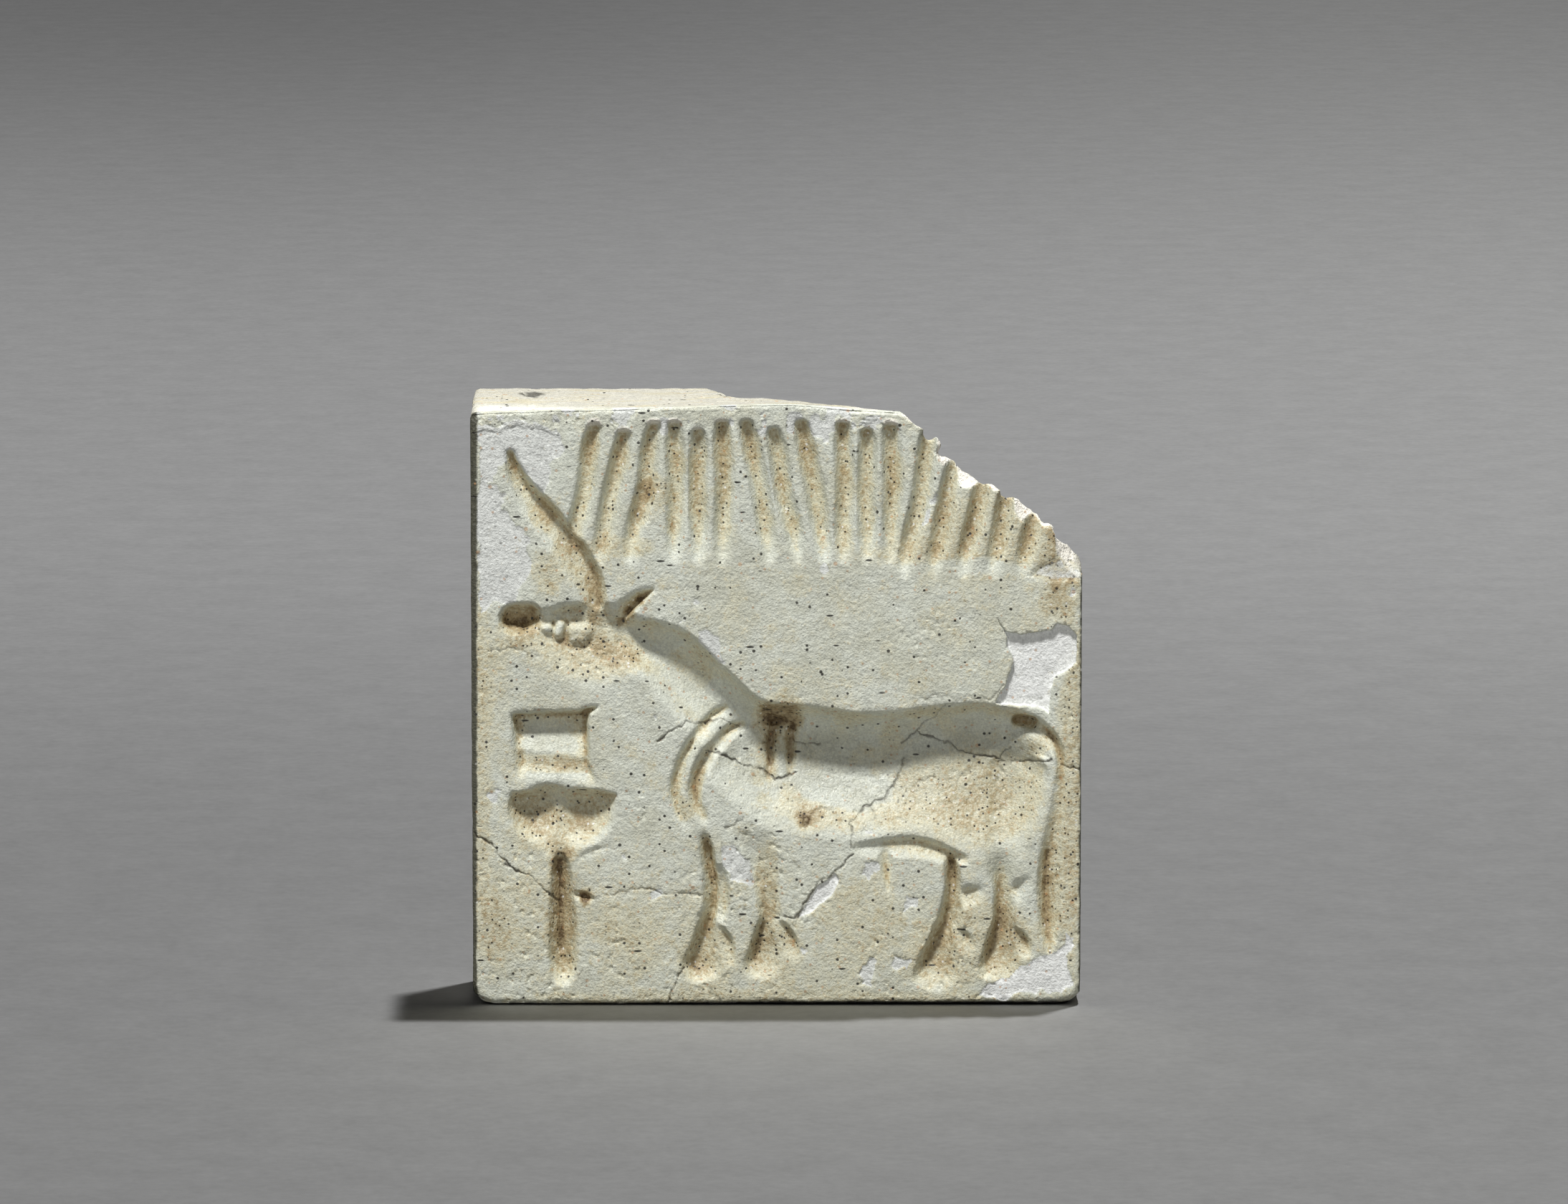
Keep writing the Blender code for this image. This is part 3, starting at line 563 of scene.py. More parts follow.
def tally_strokes():
    """The plain strokes of the band under the top edge: groups that lean in turn, as in the solid."""
    # The first stroke's x, the number of strokes, their spacing, their lean and the height of their feet
    groups = [
        (6.6, 3, 1.75, 1.4, 26.5), (12, 3, 1.4, 0, 26.5), (16.9, 3, 1.6, -1.3, 26.5),
        (21.9, 3, 1.4, 0, 26.5), (26.3, 5, 1.75, 1.6, 25.7),
    ]
    strokes = []
    for first, count, spacing, lean, foot in groups:
        for k in range(count):
            x = first + k * spacing
            head = 34.1 - 0.5 * (k % 2)
            bow = 0.12 * (-1) ** k
            strokes.append([
                (x + lean / 2, head, 0.52, 0.52, 0.8), (x + lean / 3, head - 1.1, 0.66, 0.58, 1.0),
                (x + bow, (head + foot) / 2, 0.70, 0.58, 1.0), (x - lean / 3, foot + 1.7, 0.66, 0.56, 0.85),
                (x - lean / 2, foot + 0.5, 0.56, 0.5, 0.5), (x - lean / 2, foot - 0.1, 0.4, 0.4, 0.2),
            ])
    return strokes


def carve_band(field):
    for points in tally_strokes():
        cut(field, 0.68, points, power=1.9)


def carved_depth():
    """Depth of the carving in millimetres at each lattice point."""
    field = np.full(X.shape, -0.3)
    carve_bull(field)
    carve_rump(field)
    carve_head(field)
    carve_folds(field)
    carve_shoulder(field)
    carve_legs(field)
    carve_stand(field)
    carve_band(field)
    return blur(np.maximum(field, 0.0), RIM_SOFTNESS)


# Weathering of the face

FLAKES = {
    "left": [
        (0.5, 23.4), (2.4, 23.9), (3.3, 25.1), (3.5, 26.2), (3.3, 27.4), (2.4, 28.7), (1.6, 30.6),
        (0.5, 30.9),
    ],
    "upper_left": [
        (0.5, 30.7), (1.6, 30.6), (2, 32.1), (2.9, 31.4), (4.4, 30.2), (4.9, 32.1), (5.6, 32.9),
        (5.4, 33.8), (3.5, 34.3), (0.7, 34.1),
    ],
    "above_neck": [(13.2, 20.6), (14.2, 20.4), (15.1, 20.2), (14.6, 21.6), (13.6, 22.3)],
    "between_legs": [
        (14.7, 9.4), (15.6, 9.6), (16.2, 8.7), (16.5, 7.5), (16.3, 7.2), (15.4, 7.4), (14.9, 8.2),
    ],
    "low_right": [
        (30.1, 0.5), (31, 1.45), (31.8, 1.75), (32.6, 2.3), (33.5, 2.7), (34.6, 3.2), (35.3, 4.2),
        (35.6, 3.5), (35.2, 2.1), (35.6, 1.2), (35, 0.8), (34.4, 1), (33.5, 0.5), (32.7, 0.8), (31.8, 0.3),
    ],
    "low_middle": [(23, 1), (23.6, 0.9), (24, 1.7), (23.9, 2.6), (23.3, 2.8)],
    "low_middle_small": [(24.8, 2.3), (25.6, 2.2), (25.9, 2.8), (25.1, 3.05)],
    "groin": [(23.1, 7.8), (23.6, 7.5), (23.95, 7.9), (23.5, 8.4), (23.1, 8.35)],
    "groin_small": [(25.6, 5.8), (26.3, 5.8), (26.3, 6.4), (25.7, 6.4)],
    "top_left": [(10.3, 33.6), (12, 33.4), (12.3, 34.6), (10.6, 34.8)],
    "top_middle": [(19.9, 33.6), (21, 33.2), (21.3, 34.3), (20.2, 34.7)],
    "top_right": [(23.3, 33.9), (24.3, 34.2), (23.8, 34.9), (22.9, 34.8)],
    "band": [(25.9, 28), (27, 28.4), (27.2, 29.3), (26.1, 29.2)],
}
BREAK_FOOT = [
    (32.9, 25.3), (33.8, 25.1), (36.2, 25.1), (36.2, 26.8), (34.8, 26.7), (34, 26.1), (33.4, 25.9),
]
DEEP_FLAKE = [
    (31.1, 22.8), (31.4, 22.1), (32.4, 21.9), (34.2, 22.1), (34.6, 22.5), (35.2, 22.4), (35.6, 21.8),
    (35.7, 20.2), (34.4, 19.4), (34.1, 18.3), (34, 17.3), (33.3, 17.6), (31, 17.8), (31.5, 19), (32, 20.2),
    (31.6, 21.2),
]
CRACK_CHIP = [(19.3, 5.2), (20, 5.5), (21.4, 6.6), (21.7, 7.4), (21.5, 7.8), (20.5, 7.1), (19.9, 6.3)]
CRACKS = [
    [(0, 10.2), (1.2, 9.5), (2.2, 8.2), (3.5, 7.7), (4.6, 6.5), (5.1, 6)],
    [(12.5, 2.2), (12.1, 1.5), (11.5, 0)],
    [(11, 15.6), (11.6, 16.1), (12.7, 16.8), (13.6, 16.5), (14.6, 16.7), (15.8, 16.3)],
    [(13.9, 15), (14.8, 14.7), (16, 14), (17.2, 13.7), (17.9, 13.1), (18.6, 13.3), (19.2, 13.5)],
    [(19, 15.3), (19.6, 15.15), (20.5, 15.1)],
    [(28, 17.8), (27.3, 16.9), (26.7, 16.6), (26.2, 15.9), (25.3, 15.2)],
    [(26.2, 15.9), (27.5, 15.5), (28.2, 15.3), (28.8, 14.8), (30.2, 14.5), (31.2, 14.4), (31.8, 15)],
    [(31.1, 14.1), (33.2, 14.3), (34.3, 14.5)],
    [(34.8, 14.2), (35.4, 14), (36, 14)],
    [(25.6, 14.3), (25.2, 13.1), (24.4, 12.1), (23.2, 11.5), (22.5, 10.9), (22.4, 9.3)],
    [(22.5, 8.9), (21.5, 7.9), (20.3, 7.1), (19.6, 5.9), (19.1, 5.1), (18.5, 5.3)],
]
FINE_CRACKS = [
    [(7.2, 6.3), (8.2, 6.5), (9.3, 6.8), (10.1, 6.95), (11.2, 6.65), (13.6, 6.55)],
    [(26, 18), (27.6, 18.3), (29.4, 18.2), (30.6, 18.1), (31.4, 19)],
    [(26, 12.7), (26.8, 13.2), (27.3, 13.3)],
    [(23.4, 11.9), (23.9, 11.1), (23, 10.2)],
    [(26.9, 5.1), (27.7, 5.5)],
    [(1, 20.9), (2.6, 21.1), (4, 20.7)],
    [(15, 10.4), (16, 11)],
    [(19.4, 11.2), (19.7, 10.6), (20.2, 11.4), (21.3, 11.5)],
]


def weather(depth):
    """Depth of the flakes, cracks and wear, and masks for the colours, over the lattice."""
    flakes = {name: inside(FLAKES[name], 0.42, 20 + k, 0.06) for k, name in enumerate(FLAKES)}
    deep = inside(DEEP_FLAKE, 0.16, 3, 0.05)
    chip = inside(CRACK_CHIP, 0.10, 4, 0.05)
    top_spots = smoothstep(0.24, 0.30, fractal(flat(1.3, 4.2), 4, 60)) * smoothstep(32.6, 34.4, Z)
    loose_spots = smoothstep(0.72, 0.80, fractal(flat(1.9, 6.1), 4, 61))
    flake = np.maximum.reduce([*flakes.values(), 0.9 * top_spots, 0.8 * loose_spots])
    flake = flake * smoothstep(0.30, 0.10, depth)
    foot = inside(BREAK_FOOT, 0.14, 6, 0.22)
    crack = np.zeros(X.shape)
    wide = smoothstep(-0.45, 0.55, noise3(flat(1.4), 80))
    for k, points in enumerate(CRACKS):
        reach = 0.05 + 0.07 * wide
        line = line_distance(points, 0.16, 100 + k)
        crack = np.maximum(crack, (0.55 + 0.45 * wide) * (1 - smoothstep(reach * 0.3, reach, line)))
    for k, points in enumerate(FINE_CRACKS):
        line = line_distance(points, 0.16, 140 + k)
        crack = np.maximum(crack, (0.25 + 0.3 * wide) * (1 - smoothstep(0.02, 0.07, line)))
    pits = smoothstep(0.30, 0.62, fractal(flat(0.4, 7), 2, 52))
    crumbs = smoothstep(0.32, 0.62, noise3(flat(0.3, 9), 53))
    sink = FLAKE_DEPTH * flake + DEEP_FLAKE_DEPTH * deep + CHIP_DEPTH * chip
    sink += CRACK_DEPTH * crack + BREAK_FOOT_DEPTH * foot
    rough = 0.6 + 0.8 * smoothstep(0.0, 0.5, fractal(flat(5, 3), 2, 55) + 0.03 * (12 - Z))
    sink += SKIN_LEVEL + 0.03 * fractal(flat(4.5), 2, 50) + 0.016 * fractal(flat(0.9), 3, 51)
    sink += rough * (0.045 * pits - 0.02 * crumbs + 0.012 * fractal(flat(0.38, 4), 2, 56))
    sink += 0.02 * (flake + deep) * fractal(flat(0.45, 2), 2, 54)
    white = np.maximum.reduce([0.7 * flake, flakes["low_right"], deep, chip, 0.36 * foot])
    return sink, np.clip(white, 0, 1), crack


# Tan and brown stains on the face: x, z, reach across, reach up, strength
TAN_CLOUDS = [
    (0.4, 14, 0.9, 13, 0.22), (35.4, 12.5, 0.9, 12.5, 0.34), (18, 0.3, 18, 0.7, 0.2),
    (13.9, 2.8, 2, 2.4, 0.2), (17.8, 3, 1.9, 2.6, 0.2), (17.5, 7.3, 0.8, 3, 0.27), (28, 3, 2.6, 2.4, 0.24),
    (31.5, 3.6, 1.9, 2.9, 0.26), (31.2, 8.8, 0.9, 1.4, -0.2), (34.2, 6.5, 0.8, 4.5, 0.26),
    (29.6, 12.2, 4.8, 3.2, 0.28), (5.3, 5.2, 1.1, 3.9, 0.37), (7.35, 23.8, 0.8, 2.8, 0.36),
    (4.4, 28.9, 1, 1.2, 0.3), (5.9, 27.2, 1, 1.3, 0.3), (34.7, 24, 1.4, 1.6, 0.34),
    (17.65, 15, 0.55, 2.2, 0.36), (18.85, 15.2, 0.52, 1.9, 0.32), (18.2, 17, 1.6, 0.9, 0.25),
    (3.9, 11.3, 1.3, 0.9, 0.2), (6.7, 11.2, 1.3, 1, 0.3), (1.2, 19.6, 1.5, 3.6, 0.15),
    (29.3, 25.9, 4, 0.6, -0.2), (24.8, 12, 2, 2.2, 0.12), (6.8, 20.6, 3.6, 1.5, 0.27),
    (8.9, 20.5, 1.4, 0.9, 0.22), (3, 21.8, 1.6, 1.2, 0.3), (5, 10.4, 2.7, 1.6, 0.24),
    (5, 14.2, 2.6, 0.6, 0.34), (5.2, 8.9, 1, 1, 0.3), (30.5, 28, 5.5, 3, 0.14), (34.6, 26.6, 1.4, 2.6, 0.4),
    (26, 26.6, 3.5, 0.8, 0.18), (8.6, 27, 3, 0.7, 0.22), (1.5, 4.6, 1.1, 2.6, 0.26),
    (22, 4.5, 3.2, 3.4, 0.08), (9.5, 3, 3, 2.6, 0.08), (29.4, 5.7, 1.2, 1.4, 0.24),
    (4.4, 25.6, 1.3, 1.5, 0.16), (11, 30.2, 0.9, 1.2, 0.3), (24.5, 19.6, 10, 1, 0.07),
    (20, 11.2, 1.2, 1, 0.34), (12.6, 11.6, 0.7, 0.9, 0.3), (15.2, 12.9, 1.7, 2.2, -0.45),
    (21.6, 12.6, 2.8, 1.5, -0.3), (5, 15.5, 2, 0.7, -0.25), (5, 13.4, 2.2, 0.5, -0.2),
    (9, 5.5, 3.5, 3, 0.1), (24, 4.8, 3.5, 3.5, 0.05), (18, 4, 20, 7, 0.04), (2.5, 6.5, 3, 6, 0.1),
    (32, 26, 6, 6, 0.06),
]
# Brown spots: x, z, reach, strength
BROWN_SPOTS = [
    (3.05, 22.6, 1.2, 0.3), (18.2, 16.9, 1.8, 0.58), (9.3, 23.1, 0.4, 0.5), (32.5, 16.8, 0.85, 0.35),
    (13.2, 2.15, 0.3, 0.4), (10, 23.85, 0.4, 0.5), (10.4, 30.4, 0.8, 0.3), (6.65, 6.4, 0.6, 1),
    (4.8, 24.7, 0.4, 0.35), (19.7, 10.9, 0.6, 0.5), (34, 7.3, 0.4, 0.15), (8.9, 22.5, 0.5, 0.35),
    (28.3, 8.6, 0.4, 0.25), (14.2, 7.6, 0.45, 0.3), (31.9, 6.8, 0.4, 0.2),
]


def grime(depth):
    """How much brown dirt lies at each lattice point, gathered in the creases and some hollows."""
    cavity = depth - blur(depth, 0.45)
    crease = smoothstep(0.03, 0.30, cavity)
    valley = smoothstep(0.015, 0.06, depth - blur(depth, 0.16))
    narrow = smoothstep(0.15, 0.55, depth) * smoothstep(1.25, 0.6, depth)
    cloud = fractal(flat(2.2, 1.0), 3, 70)
    patchy = fractal(flat(0.8, 5.0), 3, 73)
    crease *= 1 - 0.3 * smoothstep(25.5, 27.0, Z)
    amount = 0.27 * crease + 0.24 * valley * crease + 0.17 * narrow
    amount += 0.12 * smoothstep(-0.1, 0.5, cloud)
    amount += 0.12 * cloud * smoothstep(0.05, 0.3, depth) + 0.05 * patchy
    for x, z, across, up, strength in TAN_CLOUDS:
        away = np.hypot((X - x) / across, (Z - z) / up) + 0.3 * cloud + 0.25 * patchy
        amount = amount + strength * (1 - smoothstep(0.45, 1.15, away))
    for x, z, radius, strength in BROWN_SPOTS:
        away = np.hypot(X - x, Z - z) / radius + 0.35 * patchy
        amount = amount + strength * (1 - smoothstep(0.35, 1.05, away))
    return np.clip(amount, 0, 1.2)


depth_field = carved_depth()
sink_field, white_field, crack_field = weather(depth_field)
dirt_field = grime(depth_field)
front_field = np.maximum(depth_field + sink_field, 0.0)


def look_up(field, x, z):
    """The lattice field at these drawing points."""
    gx = np.clip(x / DRAWN[0] * CELLS_X, 0, CELLS_X - 1e-6)
    gz = np.clip(z / DRAWN[1] * CELLS_Z, 0, CELLS_Z - 1e-6)
    i, j = gx.astype(int), gz.astype(int)
    u, v = gx - i, gz - j
    low = field[i, j] * (1 - u) + field[i + 1, j] * u
    high = field[i, j + 1] * (1 - u) + field[i + 1, j + 1] * u
    return low * (1 - v) + high * v


# The closed surface of the seal, in box coordinates of x, y, z from the left, the face and the foot

def front_points():
    """Lattice places kept for the front: few where it is flat, all where it bends or changes colour."""
    # Each field, and how many millimetres of depth a whole step in it counts for
    signals = [(front_field, 1.0), (dirt_field, 0.04), (white_field, 0.05), (crack_field, 0.06)]

    def misfit(step):
        worst = np.zeros((CELLS_X // step, CELLS_Z // step))
        for field, weight in signals:
            coarse = field[::step, ::step]
            for a, b in itertools.product(range(0, step + 1, max(step // 2, 1)), repeat=2):
                u, v = a / step, b / step
                guess = coarse[:-1, :-1] * (1 - u) * (1 - v) + coarse[1:, :-1] * u * (1 - v)
                guess = guess + coarse[:-1, 1:] * (1 - u) * v + coarse[1:, 1:] * u * v
                real = field[a : a + CELLS_X - step + 1 : step, b : b + CELLS_Z - step + 1 : step]
                worst = np.maximum(worst, np.abs(guess - real) * weight)
        return worst

    coarse_misfit, fine_misfit = misfit(4), misfit(2)
    tolerance = FIRST_TOLERANCE
    while True:
        keep = np.zeros(X.shape, bool)
        keep[::4, ::4] = True
        for i, j in np.argwhere(coarse_misfit > tolerance):
            keep[4 * i : 4 * i + 5 : 2, 4 * j : 4 * j + 5 : 2] = True
        for i, j in np.argwhere(fine_misfit > tolerance):
            keep[2 * i : 2 * i + 3, 2 * j : 2 * j + 3] = True
        if keep.sum() <= MOST_FRONT_POINTS:
            break
        tolerance *= TOLERANCE_STEP
    rim = int(DENSE_RIM / CELL)
    keep[: rim + 1, ::4] = keep[-rim - 1 :, ::4] = True
    keep[::4, : rim + 1] = keep[::4, -rim - 1 :] = True
    for edge in (keep[0], keep[-1], keep[:, 0], keep[:, -1]):
        edge[:] = False
        edge[::2] = True
    return np.argwhere(keep)


def patch(points):
    """Triangles over flat points, as index triples."""
    result = delaunay_2d_cdt([Vector(p) for p in points], [], [], 0, 1e-7)
    order = [source[0] if source else -1 for source in result[3]]
    faces = [face for face in result[2] if len(face) == 3]
    return np.array([[order[i] for i in face] for face in faces])


def depth_levels():
    """Depths of the rings round the sides, closer together near the arrises."""
    near = np.array(NEAR_ARRIS)
    middle = np.linspace(MIDDLE_INSET, THICKNESS - MIDDLE_INSET, MIDDLE_LEVELS)
    return np.concatenate([near, middle, THICKNESS - near[::-1]])


def side_patch(edge_front, edge_back, length, place):
    """One side: front edge and back edge points, and rings between, made into triangles."""
    points = [(a, 0.0) for a in edge_front] + [(a, THICKNESS) for a in edge_back]
    inner = np.linspace(0, length, int(length / SIDE_SPACING))
    for k, level in enumerate(depth_levels()[1:-1]):
        along = edge_front if k < 2 else inner
        points += [(0.0, level), (length, level)]
        points += [(a, level) for a in along[1:-1]]
    points = np.array(points)
    return place(points[:, 0], points[:, 1]), patch(points)


def boss_profile():
    """Radius and height pairs of the dome, from its top to its foot."""
    angles = np.linspace(0, math.pi / 2, 22)[1:]
    rings = [(BOSS_RADIUS * math.sin(a), BOSS_HEIGHT * math.cos(a)) for a in angles[:-1]]
    rings += [(BOSS_RADIUS + 0.12, 0.45), (BOSS_RADIUS + 0.3, 0.2), (BOSS_RADIUS + BOSS_FLARE, 0.0)]
    return rings


def back_points(edge_x, edge_z):
    """Points of the back: its border, an even field and the boss's rings, with the boss's height at each."""
    points = [(x, z, 0.0) for x in edge_x for z in (0.0, HEIGHT)]
    points += [(x, z, 0.0) for z in edge_z[1:-1] for x in (0.0, WIDTH)]
    for inset in BACK_INSETS:
        for x in edge_x[1:-1]:
            points += [(x, inset, 0.0), (x, HEIGHT - inset, 0.0)]
        for z in edge_z[2:-2]:
            points += [(inset, z, 0.0), (WIDTH - inset, z, 0.0)]
    clear_of_boss = BOSS_RADIUS + BOSS_FLARE + BACK_SPACING / 2
    for x in np.arange(BACK_FIRST, WIDTH - BACK_LAST, BACK_SPACING):
        for z in np.arange(BACK_FIRST, HEIGHT - BACK_LAST, BACK_SPACING):
            if math.hypot(x - BOSS_CENTRE[0], z - BOSS_CENTRE[1]) > clear_of_boss:
                points.append((x, z, 0.0))
    points.append((BOSS_CENTRE[0], BOSS_CENTRE[1], BOSS_HEIGHT))
    for radius, rise in boss_profile():
        count = max(10, int(2 * math.pi * radius / BOSS_SPACING))
        for k in range(count):
            angle = 2 * math.pi * (k + 0.5 * (len(points) % 2)) / count
            x = BOSS_CENTRE[0] + radius * math.cos(angle)
            z = BOSS_CENTRE[1] + radius * math.sin(angle)
            points.append((x, z, rise))
    return np.array(points)


def joined(parts):
    """One list of vertices and faces from patches that share their border points."""
    verts = np.vstack([p for p, _ in parts])
    faces, start = [], 0
    for p, f in parts:
        faces.append(f + start)
        start += len(p)
    faces = np.vstack(faces)
    keys = np.round(verts[:, :3] * KEYS_PER_MM).astype(np.int64)
    _, first, same = np.unique(keys, axis=0, return_index=True, return_inverse=True)
    same = same.reshape(-1)
    faces = same[faces]
    good = (faces != np.roll(faces, 1, axis=1)).all(axis=1)
    return verts[first], faces[good]


def sharp_box():
    """The seal as a sharp box with a dense front: columns x, y, z and the boss's height."""
    kept = front_points()
    drawn = np.stack([lattice_x[kept[:, 0]], lattice_z[kept[:, 1]]], -1)
    real = drawn * (WIDTH / DRAWN[0], HEIGHT / DRAWN[1])
    zero = np.zeros(len(real))
    front = np.stack([real[:, 0], zero, real[:, 1], zero], -1)
    parts = [(front, patch(real))]
    edge_x = lattice_x[::2] * WIDTH / DRAWN[0]
    edge_z = lattice_z[::2] * HEIGHT / DRAWN[1]
    back_x, back_z = edge_x[::2], edge_z[::2]

    def along_x(z):
        return lambda a, d: np.stack([a, d, np.full_like(a, z), np.zeros_like(a)], -1)

    def along_z(x):
        return lambda a, d: np.stack([np.full_like(a, x), d, a, np.zeros_like(a)], -1)

    for z in (0.0, HEIGHT):
        parts.append(side_patch(edge_x, back_x, WIDTH, along_x(z)))
    for x in (0.0, WIDTH):
        parts.append(side_patch(edge_z, back_z, HEIGHT, along_z(x)))
    rear = back_points(back_x, back_z)
    back = np.stack([rear[:, 0], np.full(len(rear), THICKNESS), rear[:, 1], rear[:, 2]], -1)
    parts.append((back, patch(rear[:, :2])))
    return joined(parts)


def outward(verts, faces):
    """The faces turned so that each points out of the box."""
    a, b, c = (verts[faces[:, k], :3] for k in range(3))
    normal = np.cross(b - a, c - a)
    centre = np.array((WIDTH, THICKNESS, HEIGHT)) / 2
    middle = (a + b + c) / 3
    share = np.abs(middle - centre) / centre
    axis = share.argmax(1)
    rows = np.arange(len(faces))
    wrong = normal[rows, axis] * (middle - centre)[rows, axis] < 0
    faces[wrong] = faces[wrong][:, ::-1]
    return faces


def drawn_place(p):
    """The drawing's x and z at each box point."""
    return p[:, 0] * DRAWN[0] / WIDTH, p[:, 2] * DRAWN[1] / HEIGHT


def from_top_pit(p, reach):
    """Distance from the middle of the pit in the top face, as a share of its reach."""
    return np.hypot((p[:, 0] - TOP_PIT[0]) / reach[0], (p[:, 1] - TOP_PIT[1]) / reach[1])


def worn(verts):
    """Moves the sharp box's points to the worn and carved surface."""
    p = verts[:, :3].copy()
    size = np.array((WIDTH, THICKNESS, HEIGHT))
    wear = ARRIS * (1 + 0.5 * noise3(p / 3.1, 5) + 0.35 * noise3(p / 0.8, 6))
    low_left = 1 - smoothstep(0.0, 1.6, np.hypot(p[:, 0], p[:, 2]))
    low_right = 1 - smoothstep(0.0, 1.8, np.hypot(p[:, 0] - WIDTH, p[:, 2]))
    low_front = smoothstep(1.4, 0.2, p[:, 2]) * smoothstep(2.0, 0.5, p[:, 1])
    wear = wear + LOW_LEFT_WEAR * low_left + LOW_RIGHT_WEAR * low_right + LOW_FRONT_WEAR * low_front
    wear = np.clip(wear, LEAST_ARRIS, MOST_ARRIS)[:, None]
    core = np.clip(p, wear, size - wear)
    away = p - core
    length = np.linalg.norm(away, axis=1, keepdims=True)
    normal = away / np.maximum(length, 1e-9)
    out = core + normal * wear
    on_front = p[:, 1] < 1e-6
    on_back = p[:, 1] > THICKNESS - 1e-6
    out[on_front, 1] += look_up(front_field, *drawn_place(p[on_front]))
    out[on_back, 1] += verts[on_back, 3]
    edge = ~on_front
    pits = 0.035 * (1 + fractal(p / 0.9, 3, 8)) + 0.05 * smoothstep(0.25, 0.7, fractal(p / 0.5, 2, 9))
    saw = 0.02 * (1 + np.sin(p[:, 1] * 9 + 2 * noise3(p / 6, 10)))
    hole = smoothstep(1.0, 0.3, from_top_pit(p, TOP_PIT_REACH))
    pits = pits + TOP_PIT_DEPTH * hole * (p[:, 2] > HEIGHT - 0.5)
    out[edge] -= normal[edge] * (pits + saw)[edge, None] * smoothstep(0.0, 0.8, p[edge, 1])[:, None]
    top = smoothstep(HEIGHT - 3.0, HEIGHT, p[:, 2]) * (1 - smoothstep(0.0, 5.0, p[:, 1]))
    out[:, 2] -= TOP_LEFT_WEAR * top * np.clip(1 - p[:, 0] / 19.0, 0, 1)
    near_top = smoothstep(HEIGHT - 2.0, HEIGHT, p[:, 2])
    out[:, 2] -= TOP_RIGHT_WEAR * near_top * smoothstep(17.0, 26.5, p[:, 0])
    return out


def to_world(p):
    """Box coordinates in millimetres turned into the frame's metres."""
    return (p + (LEFT, FACE_Y, 0.0)) * MM


def mesh_object(name, verts, faces):
    """A new object in the scene, from points in metres and lists of corners."""
    mesh = bpy.data.meshes.new(name)
    mesh.from_pydata(verts.tolist(), [], faces)
    mesh.validate()
    mesh.update()
    obj = bpy.data.objects.new(name, mesh)
    bpy.context.scene.collection.objects.link(obj)
    return obj


# The broken corner: rows of the line on the face and of the ridge behind it, in drawing points

BREAK_ROWS = [
    # face x, face z, ridge x, ridge z, ridge depth
    (17.3, 36.2, 17.3, 35.9, 1), (21, 36, 21, 35.7, 0.7), (23.6, 35.8, 23.8, 35.55, 0.4),
    (24.5, 35.1, 24.6, 35.15, 0.3), (25.6, 34.5, 25.7, 34.55, 0.3), (26.7, 33.7, 26.8, 33.75, 0.3),
    (27.25, 33.1, 27.6, 33.05, 0.4), (27.2, 32.5, 27.5, 32.4, 0.5), (27.7, 31.5, 28.3, 31.95, 0.8),
    (28.3, 30.6, 29.1, 31.3, 0.9), (29.1, 30.35, 29.9, 30.8, 0.8), (30.3, 30.4, 30.9, 30.45, 0.4),
    (31.4, 29.9, 31.5, 30.05, 0.3), (31.75, 29.1, 32.4, 29.65, 0.7), (32.4, 28.35, 33.1, 29, 0.9),
    (33.2, 28.1, 33.6, 28.5, 0.6), (34.05, 28.1, 34.15, 28.35, 0.3), (34.3, 27.5, 34.6, 27.5, 0.5),
    (34.4, 26.5, 35.2, 27, 1), (34.7, 25.7, 35.8, 26.4, 1.2), (35.6, 25.3, 36.2, 25.7, 1.2),
    (36.6, 25.1, 36.9, 24.9, 1.2), (37.6, 24.6, 37.9, 24, 1.2),
]
BREAK_BACK = [(12.8, 35.9), (17, 31.8), (21.4, 28.8), (27, 24.8), (32.4, 21.2), (38.4, 17.6)]
OUT_OF_BREAK = np.array((0.6, 0.0, 0.8))
BREAK_REACH = 14.0
BREAK_OVERSHOOT = 0.35


